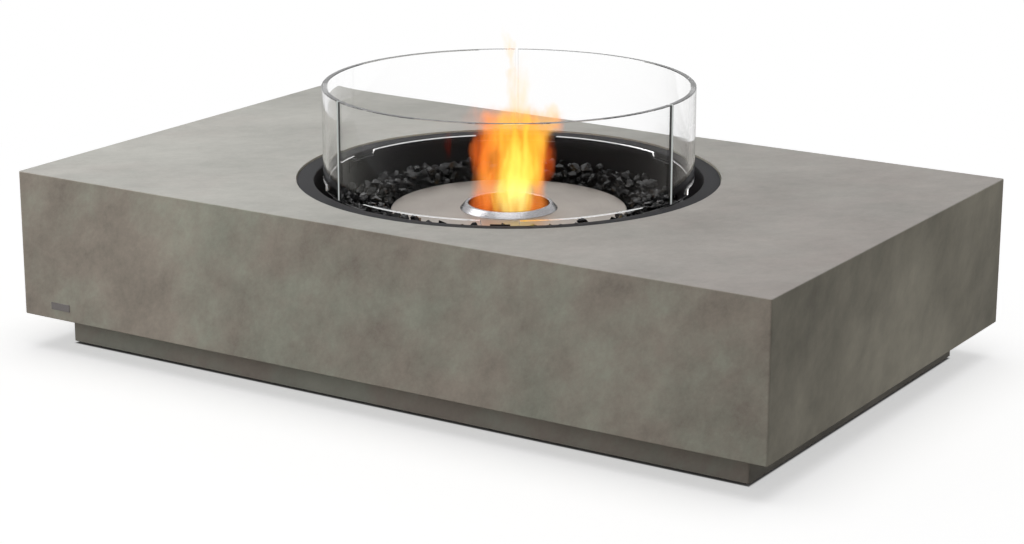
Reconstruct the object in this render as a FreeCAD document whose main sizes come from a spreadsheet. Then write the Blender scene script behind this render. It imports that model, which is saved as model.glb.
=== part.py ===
import FreeCAD, Part
import math
import operator
import os
import random

import Sketcher

# Fire pit table: a cast concrete box table on a recessed plinth, with a round drop-in tray that
# holds a burner, glass charcoal and a three-panel glass screen.
# The frame's origin is on the floor under the middle of the table, +X is along its length, +Z is up.
# All sizes are in millimetres.

SIZES = (
    # Cast concrete table and plinth
    ("table_length", 1250.0, "cast body, outside, along X"),
    ("table_width", 750.0, "cast body, outside, along Y"),
    ("shell_height", 220.0, "cast body, from its lower edge to the table top"),
    ("shell_wall", 20.0, "side walls of the cast body"),
    ("deck_thickness", 25.0, "table top of the cast body"),
    ("shell_lap", 8.0, "how far the walls hang below the top of the plinth"),
    ("corner_round", 3.0, "upright corners of the cast body"),
    ("arris_round", 1.5, "upper and lower edges of the cast body"),
    ("block_side", 60.0, "cast corner blocks inside the body, square"),
    ("mid_block_width", 60.0, "cast blocks half way along the long walls, along X"),
    ("mid_block_depth", 40.0, "cast blocks half way along the long walls, along Y"),
    ("plinth_inset", 50.0, "how far the plinth stands back from the walls, all round"),
    ("plinth_height", 56.0, "plinth, from its pads to the steel frame"),
    ("plinth_wall", 20.0, "side walls of the plinth"),
    ("plinth_block_side", 60.0, "cast corner blocks inside the plinth, square"),
    ("pad_thickness", 4.0, "rubber floor pads"),
    ("pad_radius", 22.0, "rubber floor pads"),
    # Steel frame between the plinth and the cast body
    ("tube_height", 40.0, "rectangular steel tube, upright"),
    ("tube_width", 40.0, "rectangular steel tube, across"),
    ("tube_wall", 2.5, "rectangular steel tube"),
    ("frame_gap", 1.0, "space between the frame and the walls round it"),
    ("inner_cross_offset", 150.0, "inner cross members, from the middle, along X"),
    # Fasteners
    ("bolt_radius", 4.0, "M8 bolt shank"),
    ("bolt_head_radius", 7.4, "M8 bolt head, across corners, halved"),
    ("bolt_head_height", 5.3, "M8 bolt head"),
    ("bolt_hole_radius", 4.5, "clearance hole for an M8 bolt"),
    ("bolt_grip", 18.0, "length of bolt inside its insert"),
    ("washer_radius", 8.0, "M8 washer, outside"),
    ("washer_thickness", 1.6, "M8 washer"),
    ("insert_radius", 6.0, "cast-in threaded insert, outside"),
    ("insert_length", 20.0, "cast-in threaded insert"),
    ("fit_clearance", 0.05, "radial clearance of a close fit"),
    ("pad_screw_radius", 3.0, "M6 countersunk screw shank"),
    ("pad_screw_head_radius", 6.0, "M6 countersunk screw head"),
    ("pad_screw_head_height", 3.0, "M6 countersunk screw head"),
    ("pad_screw_length", 16.0, "M6 countersunk screw, from the top of its pad"),
    ("pad_screw_recess", 0.6, "screw head above the underside of its pad"),
    ("small_screw_radius", 2.5, "M5 screw shank"),
    ("small_head_radius", 4.7, "M5 pan head"),
    ("small_head_height", 2.8, "M5 pan head"),
    ("small_nut_radius", 4.6, "M5 nut, across corners, halved"),
    ("small_nut_height", 4.0, "M5 nut"),
    ("small_thread_proud", 1.5, "M5 thread beyond its nut"),
    # Round tray let into the table top
    ("tray_flange_radius", 311.8, "flange of the tray, outer edge"),
    ("tray_bore_radius", 287.0, "tray wall, inside"),
    ("tray_sheet", 2.0, "sheet steel of the tray, well and shield"),
    ("flange_drop", 2.2, "flange of the tray below the table top"),
    ("gasket_thickness", 2.0, "ceramic-fibre gasket under the flange"),
    ("gasket_margin", 2.0, "gasket narrower than the flange, each edge"),
    ("rebate_gap", 1.7, "shadow gap round the flange"),
    ("tray_hole_gap", 3.0, "space between the tray wall and the hole in the table top"),
    ("shelf_depth", 76.0, "charcoal shelf of the tray below the table top"),
    ("well_gap", 6.0, "space round the burner in its well"),
    ("well_flange", 22.0, "flange of the well under the shelf, wide"),
    ("well_screw_count", 8, "screws that hold the well to the shelf"),
    ("shield_length", 420.0, "heat shield, along X"),
    ("shield_width", 420.0, "heat shield, along Y"),
    ("shield_lip", 12.0, "upturned edges of the heat shield"),
    ("shield_screw_spread", 150.0, "heat shield screws, from the middle, along Y"),
    # Brackets and pads that carry the glass
    ("bracket_angle", 6.0, "arc of a bracket, degrees"),
    ("bracket_sheet", 2.0, "bracket steel"),
    ("bracket_lip", 3.0, "bracket lips above the bracket's seat"),
    ("bracket_side_gap", 2.0, "space between the glass and the bracket's lips"),
    ("bracket_leg", 22.0, "bracket leg down the tray wall"),
    ("glass_pad_thickness", 1.0, "silicone pads under the glass"),
    ("rivet_radius", 2.0, "rivet shank"),
    ("rivet_head_radius", 3.6, "rivet head"),
    ("rivet_head_height", 1.2, "rivet head and tail"),
    ("rivet_height", 9.0, "rivets above the lower end of the bracket's leg"),
    # Glass screen
    ("glass_radius", 274.0, "curved glass, outside"),
    ("glass_thickness", 8.0, "toughened curved glass"),
    ("glass_rise", 137.0, "upper rim of the glass above the table top"),
    ("glass_foot", 8.5, "feet of the glass below the table top"),
    ("glass_arris", 0.8, "ground edges of the glass"),
    ("glass_gap_angle", 1.0, "seam between two panels, degrees"),
    ("end_foot_angle", 12.9, "foot at each end of a panel, degrees"),
    ("middle_foot_angle", 10.9, "foot in the middle of a panel, degrees"),
    # Burner
    ("plate_drop", 49.0, "burner top plate below the table top"),
    ("plate_radius", 175.0, "burner top plate"),
    ("plate_sheet", 2.0, "burner top plate"),
    ("plate_rim", 14.0, "turned-down rim of the burner top plate"),
    ("casing_sheet", 1.5, "burner casing and reservoir"),
    ("casing_gap", 0.3, "casing inside the rim of the top plate"),
    ("burner_height", 98.0, "burner, from its feet to its top plate"),
    ("burner_foot_height", 4.0, "burner feet"),
    ("burner_foot_radius", 12.0, "burner feet"),
    ("burner_foot_circle", 135.0, "burner feet, from the middle"),
    ("reservoir_radius", 125.0, "fuel reservoir, outside"),
    ("reservoir_flange", 40.0, "fuel reservoir's flange under the top plate, wide"),
    ("reservoir_floor_gap", 10.0, "reservoir above the casing's floor"),
    ("wool_height", 52.0, "absorbent ceramic wool in the reservoir"),
    ("mesh_thickness", 1.0, "perforated disc on the wool"),
    ("mesh_hole_radius", 4.0, "holes in the perforated disc"),
    ("mesh_hole_pitch", 16.0, "rings of holes in the perforated disc"),
    ("mouth_radius", 60.0, "opening of the collar ring"),
    ("collar_base_radius", 72.3, "collar ring, outside at its base"),
    ("collar_top_radius", 66.5, "collar ring, outside at its top"),
    ("collar_height", 9.2, "collar ring above the top plate"),
    ("collar_shoulder", 4.2, "height of the collar ring's flared base"),
    ("collar_shoulder_lean", 0.8, "how far the flared base leans in over its height"),
    ("collar_crown_lean", 2.2, "how far the collar ring's side leans in below its crown"),
    ("collar_crown", 1.6, "height of the collar ring's sloping crown"),
    ("collar_mouth_arris", 0.8, "chamfer at the mouth of the collar ring"),
    ("collar_skirt", 8.0, "collar ring's skirt inside the opening"),
    ("collar_skirt_sheet", 1.5, "collar ring's skirt"),
    ("collar_gap", 0.3, "skirt inside the plate's opening"),
    # Glass charcoal
    ("charcoal_margin", 2.0, "charcoal clear of the walls beside it"),
    ("charcoal_layer", 26.0, "height of a full layer of charcoal"),
    ("charcoal_upper_layer", 24.0, "height of the tallest upper pieces"),
    ("charcoal_space", 1.2, "least space between two pieces"),
    ("charcoal_pitch", 35.0, "piece to piece along a ring"),
    # Small plate on the front
    ("badge_length", 36.0, "bare plate on the front"),
    ("badge_height", 11.0, "bare plate on the front"),
    ("badge_thickness", 1.0, "bare plate on the front"),
    ("badge_from_end", 71.7, "middle of the plate from the left end of the table"),
    ("badge_from_edge", 20.5, "middle of the plate above the lower edge of the cast body"),
)

CROSS_SIDES = (-1, 1)
TOLERANCE = 0.001
BRACKET_COUNT = 6
PANEL_COUNT = 3
RIVETS_PER_BRACKET = 2
RIVET_SPREAD_DEGREES = 1.6
# A flat rivet head stands off a round wall by the wall's rise under the head.
RIVET_SEAT = 0.03
BURNER_FOOT_COUNT = 4
BURNER_SCREW_COUNT = 4
BURNER_TURN = 45.0
MESH_RINGS = 7
HOLES_PER_RING = 6
CHARCOAL_SECTORS = 6
CHARCOAL_RINGS = 3
CHARCOAL_SEED = 11
UPPER_SHARE = 0.78
LOWER_HEIGHTS = (0.75, 1.0)
UPPER_HEIGHTS = (0.7, 1.0)
WELL_SCREW_TURN = 22.5

doc = FreeCAD.newDocument("fire_pit_table")
pieces = []


class Length:
    """A size: the expression that gives it, and the value it has now."""

    def __init__(self, text, value):
        self.text = text
        self.value = value

    def __add__(self, other):
        return combine(self, "+", other)

    def __radd__(self, other):
        return combine(other, "+", self)

    def __sub__(self, other):
        return combine(self, "-", other)

    def __rsub__(self, other):
        return combine(other, "-", self)

    def __mul__(self, other):
        return combine(self, "*", other)

    def __rmul__(self, other):
        return combine(other, "*", self)

    def __truediv__(self, other):
        return combine(self, "/", other)

    def __neg__(self):
        return combine(0, "-", self)


OPERATIONS = {"+": operator.add, "-": operator.sub, "*": operator.mul, "/": operator.truediv}


def as_length(number):
    if isinstance(number, Length):
        return number
    return Length(f"({float(number):.12g})", float(number))


def combine(left, sign, right):
    left = as_length(left)
    right = as_length(right)
    value = OPERATIONS[sign](left.value, right.value)
    return Length(f"({left.text} {sign} {right.text})", value)


class Sizes:
    """The driving dimensions, each an attribute that is read from the sheet."""


def make_sheet():
    sheet = doc.addObject("Spreadsheet::Sheet", "Sizes")
    for row, (alias, number, note) in enumerate(SIZES, start=1):
        sheet.set(f"A{row}", alias)
        sheet.set(f"B{row}", str(number))
        sheet.set(f"C{row}", note)
        sheet.setAlias(f"B{row}", alias)
    doc.recompute()
    sizes = Sizes()
    for alias, _, _ in SIZES:
        setattr(sizes, alias, Length(f"Sizes.{alias}", float(sheet.get(alias))))
    return sizes


S = make_sheet()


# Building blocks

def bind(item, target, length):
    item.setExpression(target, as_length(length).text)


def place(item, x=0, y=0, z=0, turn=0):
    """Put an item at a point, turned about the upright axis by an angle in degrees."""
    where = [as_length(value) for value in (x, y, z)]
    angle = as_length(turn)
    axis = FreeCAD.Vector(0, 0, 1)
    point = FreeCAD.Vector(*(value.value for value in where))
    item.Placement = FreeCAD.Placement(point, FreeCAD.Rotation(axis, angle.value))
    for name, value in zip("xyz", where):
        if isinstance(value, Length) and value.value != 0:
            bind(item, f"Placement.Base.{name}", value)
    if angle.value != 0:
        bind(item, "Placement.Rotation.Angle", angle)
    return item


def piece(item, label):
    """Keep an item as a finished sub-part under its name."""
    item.Label = label
    pieces.append(item)
    return item


def box(name, size, low):
    """A box with its size and its lowest corner."""
    item = doc.addObject("Part::Box", name)
    for target, value in zip(("Length", "Width", "Height"), size):
        bind(item, target, value)
    return place(item, *low)


def cylinder(name, radius, height, x=0, y=0, z=0):
    item = doc.addObject("Part::Cylinder", name)
    bind(item, "Radius", radius)
    bind(item, "Height", height)
    return place(item, x, y, z)


def hexagon(name, radius, height, x=0, y=0, z=0):
    item = doc.addObject("Part::Prism", name)
    item.Polygon = 6
    bind(item, "Circumradius", radius)
    bind(item, "Height", height)
    return place(item, x, y, z)


def joined(name, items):
    item = doc.addObject("Part::MultiFuse", name)
    item.Shapes = items
    item.Refine = True
    return item


def group(name, items):
    """Separate solids that share one node."""
    item = doc.addObject("Part::Compound", name)
    item.Links = items
    return item


def cut(name, base, tools):
    tool = tools[0]
    if len(tools) > 1:
        tool = group(f"{name}_tools", tools)
    item = doc.addObject("Part::Cut", name)
    item.Base = base
    item.Tool = tool
    item.Refine = True
    return item


def new_body(name):
    return doc.addObject("PartDesign::Body", name)


def new_sketch(body, name, role, level=0):
    """A sketch on one of the body's own planes, raised by a level."""
    sketch = body.newObject("Sketcher::SketchObject", name)
    plane = next(item for item in body.Origin.OriginFeatures if item.Role == role)
    sketch.AttachmentSupport = [(plane, "")]
    sketch.MapMode = "FlatFace"
    bind(sketch, "AttachmentOffset.Base.z", level)
    return sketch


def hold(sketch, kind, index, value, position=1):
    """Hold a point's distance from the sketch's origin."""
    value = as_length(value)
    constraint = Sketcher.Constraint(kind, -1, 1, index, position, value.value)
    number = sketch.addConstraint(constraint)
    sketch.setExpression(f"Constraints[{number}]", value.text)


def outline(sketch, points):
    """A closed outline of straight lines with every corner held."""
    points = [(as_length(x), as_length(y)) for x, y in points]
    corners = [FreeCAD.Vector(x.value, y.value, 0) for x, y in points]
    first = sketch.GeometryCount
    for start, end in zip(corners, corners[1:] + corners[:1]):
        sketch.addGeometry(Part.LineSegment(start, end), False)
    for number, (x, y) in enumerate(points):
        line = first + number
        before = first + (number - 1) % len(points)
        sketch.addConstraint(Sketcher.Constraint("Coincident", before, 2, line, 1))
        hold(sketch, "DistanceX", line, x)
        hold(sketch, "DistanceY", line, y)


def rectangle(sketch, length, width, x=0, y=0):
    left = x - as_length(length) / 2
    right = x + as_length(length) / 2
    low = y - as_length(width) / 2
    high = y + as_length(width) / 2
    outline(sketch, [(left, low), (right, low), (right, high), (left, high)])


def circle(sketch, radius, x=0, y=0):
    x = as_length(x)
    y = as_length(y)
    radius = as_length(radius)
    centre = FreeCAD.Vector(x.value, y.value, 0)
    ring = Part.Circle(centre, FreeCAD.Vector(0, 0, 1), radius.value)
    index = sketch.addGeometry(ring, False)
    hold(sketch, "DistanceX", index, x, 3)
    hold(sketch, "DistanceY", index, y, 3)
    number = sketch.addConstraint(Sketcher.Constraint("Radius", index, radius.value))
    sketch.setExpression(f"Constraints[{number}]", radius.text)


def pad(body, name, sketch, height):
    """Add material upwards from a sketch."""
    feature = body.newObject("PartDesign::Pad", name)
    feature.Profile = sketch
    bind(feature, "Length", height)
    sketch.Visibility = False
    return feature


def pocket(body, name, sketch, depth, upwards=False):
    """Take material away below a sketch, or above it."""
    before = solid_volume(body)
    feature = body.newObject("PartDesign::Pocket", name)
    feature.Profile = sketch
    feature.Reversed = upwards
    bind(feature, "Length", depth)
    if solid_volume(body) >= before:
        raise ValueError(f"{name} cuts nothing")
    return feature


def solid_volume(body):
    doc.recompute()
    return body.Shape.Volume


def soften(body, name, radius, chosen):
    """Round the edges of a body's last feature that a test picks."""
    doc.recompute()
    base = body.Tip
    names = [f"Edge{number}" for number, edge in enumerate(base.Shape.Edges, 1) if chosen(edge)]
    feature = body.newObject("PartDesign::Fillet", name)
    feature.Base = (base, names)
    bind(feature, "Radius", radius)
    return feature


def is_upright(edge):
    box_of_edge = edge.BoundBox
    return box_of_edge.XLength < TOLERANCE and box_of_edge.YLength < TOLERANCE


def is_level_at(height):
    def test(edge):
        box_of_edge = edge.BoundBox
        return box_of_edge.ZLength < TOLERANCE and abs(box_of_edge.ZMin - height.value) < TOLERANCE
    return test


def turned(name, points, angle=360, start=0):
    """Turn a profile of radius and height about the upright axis, from a start angle."""
    body = new_body(name)
    sketch = new_sketch(body, f"{name}_profile", "XZ_Plane")
    outline(sketch, points)
    feature = body.newObject("PartDesign::Revolution", f"{name}_turned")
    feature.Profile = sketch
    feature.ReferenceAxis = (sketch, ["V_Axis"])
    bind(feature, "Angle", angle)
    return place(body, turn=start)


def ring_points(inner, outer, low, high):
    return [(inner, low), (outer, low), (outer, high), (inner, high)]


def around(count, radius, first=0.0):
    """Evenly spaced points on a circle: x, y and the angle in degrees."""
    for number in range(count):
        degrees = first + 360.0 * number / count
        yield (
            radius * math.cos(math.radians(degrees)),
            radius * math.sin(math.radians(degrees)),
            degrees,
        )


# Levels, from the floor up

plinth_foot = S.pad_thickness
plinth_top = plinth_foot + S.plinth_height
shell_foot = plinth_top - S.shell_lap
table_top = shell_foot + S.shell_height
deck_under = table_top - S.deck_thickness
frame_top = plinth_top + S.tube_height
flange_top = table_top - S.flange_drop
flange_under = flange_top - S.tray_sheet
rebate_floor = flange_under - S.gasket_thickness
shelf_top = table_top - S.shelf_depth
shelf_under = shelf_top - S.tray_sheet
plate_top = table_top - S.plate_drop
well_floor = plate_top - S.burner_height
glass_foot_level = table_top - S.glass_foot
glass_rim = table_top + S.glass_rise

# Plan sizes that several pieces share

half_length = S.table_length / 2
half_width = S.table_width / 2
inner_half_length = half_length - S.shell_wall
inner_half_width = half_width - S.shell_wall
plinth_half_length = half_length - S.plinth_inset
plinth_half_width = half_width - S.plinth_inset
rail_centre = inner_half_width - S.frame_gap - S.tube_width / 2
rail_inner = inner_half_width - S.frame_gap - S.tube_width
end_rail_centre = inner_half_length - S.frame_gap - S.tube_width / 2
tray_outer = S.tray_bore_radius + S.tray_sheet
tray_hole = tray_outer + S.tray_hole_gap
rebate_radius = S.tray_flange_radius + S.rebate_gap
well_bore = S.plate_radius + S.well_gap

shell_bolt_x = inner_half_length - S.block_side / 2
plinth_block_x = plinth_half_length - S.plinth_wall - S.plinth_block_side / 2
plinth_block_y = plinth_half_width - S.plinth_wall - S.plinth_block_side / 2
shell_bolt_places = [(x * shell_bolt_x, y * rail_centre) for x in (-1, 0, 1) for y in (-1, 1)]
plinth_bolt_places = [(x * plinth_block_x, y * plinth_block_y) for x in (-1, 1) for y in (-1, 1)]
pad_places = [(x * plinth_block_x, y * plinth_block_y) for x in (-1, 0, 1) for y in (-1, 1)]


# Cast concrete body

def make_table_shell():
    body = new_body("shell_body")
    outside = new_sketch(body, "shell_outside", "XY_Plane", shell_foot)
    rectangle(outside, S.table_length, S.table_width)
    pad(body, "shell_block", outside, S.shell_height)
    soften(body, "shell_corners", S.corner_round, is_upright)
    soften(body, "shell_top_arris", S.arris_round, is_level_at(table_top))
    soften(body, "shell_foot_arris", S.arris_round, is_level_at(shell_foot))
    inside = new_sketch(body, "shell_inside", "XY_Plane", shell_foot)
    rectangle(inside, 2 * inner_half_length, 2 * inner_half_width)
    pocket(body, "shell_hollow", inside, S.shell_height - S.deck_thickness, upwards=True)

    blocks = new_sketch(body, "shell_block_plan", "XY_Plane", frame_top)
    for side_x in CROSS_SIDES:
        for side_y in CROSS_SIDES:
            x = side_x * (inner_half_length - S.block_side / 2)
            y = side_y * (inner_half_width - S.block_side / 2)
            rectangle(blocks, S.block_side, S.block_side, x, y)
    for side_y in CROSS_SIDES:
        y = side_y * (inner_half_width - S.mid_block_depth / 2)
        rectangle(blocks, S.mid_block_width, S.mid_block_depth, 0, y)
    pad(body, "shell_blocks", blocks, deck_under - frame_top)

    hole = new_sketch(body, "tray_hole_plan", "XY_Plane", table_top)
    circle(hole, tray_hole)
    pocket(body, "tray_hole", hole, table_top - shelf_under + S.tray_hole_gap)
    rebate = new_sketch(body, "rebate_plan", "XY_Plane", table_top)
    circle(rebate, rebate_radius)
    pocket(body, "rebate", rebate, table_top - rebate_floor)

    sockets = new_sketch(body, "insert_plan", "XY_Plane", frame_top)
    for x, y in shell_bolt_places:
        circle(sockets, S.insert_radius + S.fit_clearance, x, y)
    pocket(body, "insert_sockets", sockets, S.insert_length, upwards=True)
    return piece(body, "table_shell")


def make_plinth():
    body = new_body("plinth_body")
    outside = new_sketch(body, "plinth_outside", "XY_Plane", plinth_foot)
    rectangle(outside, 2 * plinth_half_length, 2 * plinth_half_width)
    pad(body, "plinth_block", outside, S.plinth_height)
    soften(body, "plinth_corners", S.corner_round, is_upright)
    inside = new_sketch(body, "plinth_inside", "XY_Plane", plinth_foot)
    inner_length = 2 * (plinth_half_length - S.plinth_wall)
    inner_width = 2 * (plinth_half_width - S.plinth_wall)
    rectangle(inside, inner_length, inner_width)
    pocket(body, "plinth_hollow", inside, S.plinth_height, upwards=True)

    blocks = new_sketch(body, "plinth_block_plan", "XY_Plane", plinth_foot)
    for x, y in pad_places:
        rectangle(blocks, S.plinth_block_side, S.plinth_block_side, x, y)
    pad(body, "plinth_blocks", blocks, S.plinth_height)

    upper = new_sketch(body, "plinth_upper_inserts", "XY_Plane", plinth_top)
    for x, y in plinth_bolt_places:
        circle(upper, S.insert_radius + S.fit_clearance, x, y)
    pocket(body, "plinth_upper_sockets", upper, S.insert_length)
    lower = new_sketch(body, "plinth_lower_inserts", "XY_Plane", plinth_foot)
    for x, y in pad_places:
        circle(lower, S.insert_radius + S.fit_clearance, x, y)
    pocket(body, "plinth_lower_sockets", lower, S.insert_length, upwards=True)
    return piece(body, "plinth")


def insert_sleeves(name, places, bore, low):
    """Threaded inserts cast into the concrete, one at each place."""
    sleeves = []
    for number, (x, y) in enumerate(places, 1):
        outer = cylinder(f"{name}_outer_{number}", S.insert_radius, S.insert_length, x, y, low)
        inner = cylinder(f"{name}_bore_{number}", bore, S.insert_length, x, y, low)
        sleeves.append(cut(f"{name}_{number}", outer, [inner]))
    return sleeves


def make_inserts():
    bore = S.bolt_radius + S.fit_clearance
    piece(group("shell_insert_group", insert_sleeves("shell_insert", shell_bolt_places, bore, frame_top)),
          "shell_inserts")
    upper = insert_sleeves("plinth_insert", plinth_bolt_places, bore, plinth_top - S.insert_length)
    piece(group("plinth_insert_group", upper), "plinth_inserts")
    screw_bore = S.pad_screw_radius + S.fit_clearance
    lower = insert_sleeves("pad_insert", pad_places, screw_bore, plinth_foot)
    piece(group("pad_insert_group", lower), "pad_inserts")


# Steel frame

def tube(name, along, length, x, y):
    """A rectangular tube that lies on the plinth's level, along X or along Y."""
    wall = S.tube_wall
    across = S.tube_width
    run = as_length(length)
    if along == "X":
        outer_size = (run, across, S.tube_height)
        inner_size = (run, across - 2 * wall, S.tube_height - 2 * wall)
        low = (x - run / 2, y - across / 2, plinth_top)
        inner_low = (low[0], low[1] + wall, low[2] + wall)
    else:
        outer_size = (across, run, S.tube_height)
        inner_size = (across - 2 * wall, run, S.tube_height - 2 * wall)
        low = (x - across / 2, y - run / 2, plinth_top)
        inner_low = (low[0] + wall, low[1], low[2] + wall)
    outer = box(f"{name}_outer", outer_size, low)
    inner = box(f"{name}_inner", inner_size, inner_low)
    return outer, inner


def bolt_holes(name, places):
    return [
        cylinder(f"{name}_hole_{number}", S.bolt_hole_radius, S.tube_height, x, y, plinth_top)
        for number, (x, y) in enumerate(places, 1)
    ]


def make_frame():
    rail_length = 2 * (inner_half_length - S.frame_gap)
    for label, side in (("frame_rail_front", -1), ("frame_rail_back", 1)):
        outer, inner = tube(label, "X", rail_length, as_length(0), side * rail_centre)
        places = [(x * shell_bolt_x, side * rail_centre) for x in (-1, 0, 1)]
        piece(cut(f"{label}_cut", outer, [inner] + bolt_holes(label, places)), label)

    member_length = 2 * rail_inner
    for label, side in (("frame_end_left", -1), ("frame_end_right", 1)):
        outer, inner = tube(label, "Y", member_length, side * end_rail_centre, as_length(0))
        piece(cut(f"{label}_cut", outer, [inner]), label)
    for label, side in (("frame_cross_left", -1), ("frame_cross_right", 1)):
        x = side * plinth_block_x
        outer, inner = tube(label, "Y", member_length, x, as_length(0))
        holes = bolt_holes(label, [(x, -plinth_block_y), (x, plinth_block_y)])
        piece(cut(f"{label}_cut", outer, [inner] + holes), label)
    for label, side in (("frame_cross_inner_left", -1), ("frame_cross_inner_right", 1)):
        x = side * S.inner_cross_offset
        outer, inner = tube(label, "Y", member_length, x, as_length(0))
        holes = [
            cylinder(f"{label}_hole_{number}", S.small_screw_radius + S.fit_clearance,
                     S.tube_wall, x, y, frame_top - S.tube_wall)
            for number, y in enumerate((-S.shield_screw_spread, S.shield_screw_spread), 1)
        ]
        piece(cut(f"{label}_cut", outer, [inner] + holes), label)


def hex_bolt(name, x, y, seat, direction):
    """A bolt whose washer sits on a seat level; direction 1 is a shank that points up."""
    shank = S.washer_thickness + S.tube_height + S.bolt_grip
    if direction > 0:
        under_head = seat - S.washer_thickness
        head = hexagon(f"{name}_head", S.bolt_head_radius, S.bolt_head_height,
                       x, y, under_head - S.bolt_head_height)
        rod = cylinder(f"{name}_shank", S.bolt_radius, shank, x, y, under_head)
    else:
        under_head = seat + S.washer_thickness
        head = hexagon(f"{name}_head", S.bolt_head_radius, S.bolt_head_height, x, y, under_head)
        rod = cylinder(f"{name}_shank", S.bolt_radius, shank, x, y, under_head - shank)
    return joined(name, [head, rod])


def washer(name, x, y, low):
    outer = cylinder(f"{name}_outer", S.washer_radius, S.washer_thickness, x, y, low)
    inner = cylinder(f"{name}_bore", S.bolt_radius + S.fit_clearance, S.washer_thickness, x, y, low)
    return cut(name, outer, [inner])


def make_frame_fasteners():
    bolts = []
    washers = []
    for number, (x, y) in enumerate(shell_bolt_places, 1):
        bolts.append(hex_bolt(f"shell_bolt_{number}", x, y, plinth_top, 1))
        washers.append(washer(f"shell_washer_{number}", x, y, plinth_top - S.washer_thickness))
    piece(group("shell_bolt_group", bolts), "shell_bolts")
    piece(group("shell_washer_group", washers), "shell_washers")
    bolts = []
    washers = []
    for number, (x, y) in enumerate(plinth_bolt_places, 1):
        bolts.append(hex_bolt(f"plinth_bolt_{number}", x, y, frame_top, -1))
        washers.append(washer(f"plinth_washer_{number}", x, y, frame_top))
    piece(group("plinth_bolt_group", bolts), "plinth_bolts")
    piece(group("plinth_washer_group", washers), "plinth_washers")


def make_floor_pads():
    head_low = S.pad_screw_recess
    head_high = head_low + S.pad_screw_head_height
    gap = S.fit_clearance
    bore = S.pad_screw_radius + gap
    flare = S.pad_screw_head_radius + gap
    pads = []
    screws = []
    for number, (x, y) in enumerate(pad_places, 1):
        pad_profile = [
            (flare, 0), (S.pad_radius, 0), (S.pad_radius, S.pad_thickness),
            (bore, S.pad_thickness), (bore, head_high), (flare, head_low),
        ]
        pads.append(place(turned(f"floor_pad_{number}", pad_profile), x, y))
        rod = S.pad_screw_radius
        screw_profile = [
            (0, head_low), (S.pad_screw_head_radius, head_low), (rod, head_high),
            (rod, S.pad_thickness + S.pad_screw_length), (0, S.pad_thickness + S.pad_screw_length),
        ]
        screws.append(place(turned(f"pad_screw_{number}", screw_profile), x, y))
    piece(group("floor_pad_group", pads), "floor_pads")
    piece(group("pad_screw_group", screws), "pad_screws")


def make_badge():
    x = S.badge_from_end - half_length
    z = shell_foot + S.badge_from_edge
    low = (x - S.badge_length / 2, -half_width - S.badge_thickness, z - S.badge_height / 2)
    piece(box("badge", (S.badge_length, S.badge_thickness, S.badge_height), low), "badge_plate")


# Tray, well and heat shield

def small_screw(name, x, y, head_under, length):
    """A small pan-head screw that points down."""
    head = cylinder(f"{name}_head", S.small_head_radius, S.small_head_height, x, y, head_under)
    rod = cylinder(f"{name}_shank", S.small_screw_radius, length, x, y, head_under - length)
    return joined(name, [head, rod])


def radial_rod(name, radius, inner, outer, degrees, z):
    """A round rod along a radius of the tray, from one radius to another."""
    item = doc.addObject("Part::Cylinder", name)
    bind(item, "Radius", radius)
    bind(item, "Height", outer - inner)
    turn = FreeCAD.Rotation(FreeCAD.Vector(0, 0, 1), degrees)
    lean = FreeCAD.Rotation(FreeCAD.Vector(0, 1, 0), 90)
    cosine = math.cos(math.radians(degrees))
    sine = math.sin(math.radians(degrees))
    point = FreeCAD.Vector(inner.value * cosine, inner.value * sine, z.value)
    item.Placement = FreeCAD.Placement(point, turn.multiply(lean))
    bind(item, "Placement.Base.x", inner * cosine)
    bind(item, "Placement.Base.y", inner * sine)
    bind(item, "Placement.Base.z", z)
    return item


bracket_seat = glass_foot_level - S.glass_pad_thickness
bracket_under = bracket_seat - S.bracket_sheet
bracket_foot = bracket_seat - S.bracket_leg
bracket_inner = S.tray_bore_radius - S.bracket_sheet
rivet_level = bracket_foot + S.rivet_height
rivet_angles = [
    360.0 * number / BRACKET_COUNT + side * RIVET_SPREAD_DEGREES
    for number in range(BRACKET_COUNT)
    for side in CROSS_SIDES
]
well_screw_count = int(S.well_screw_count.value)
well_screw_circle = well_bore + S.well_flange / 2


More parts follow.
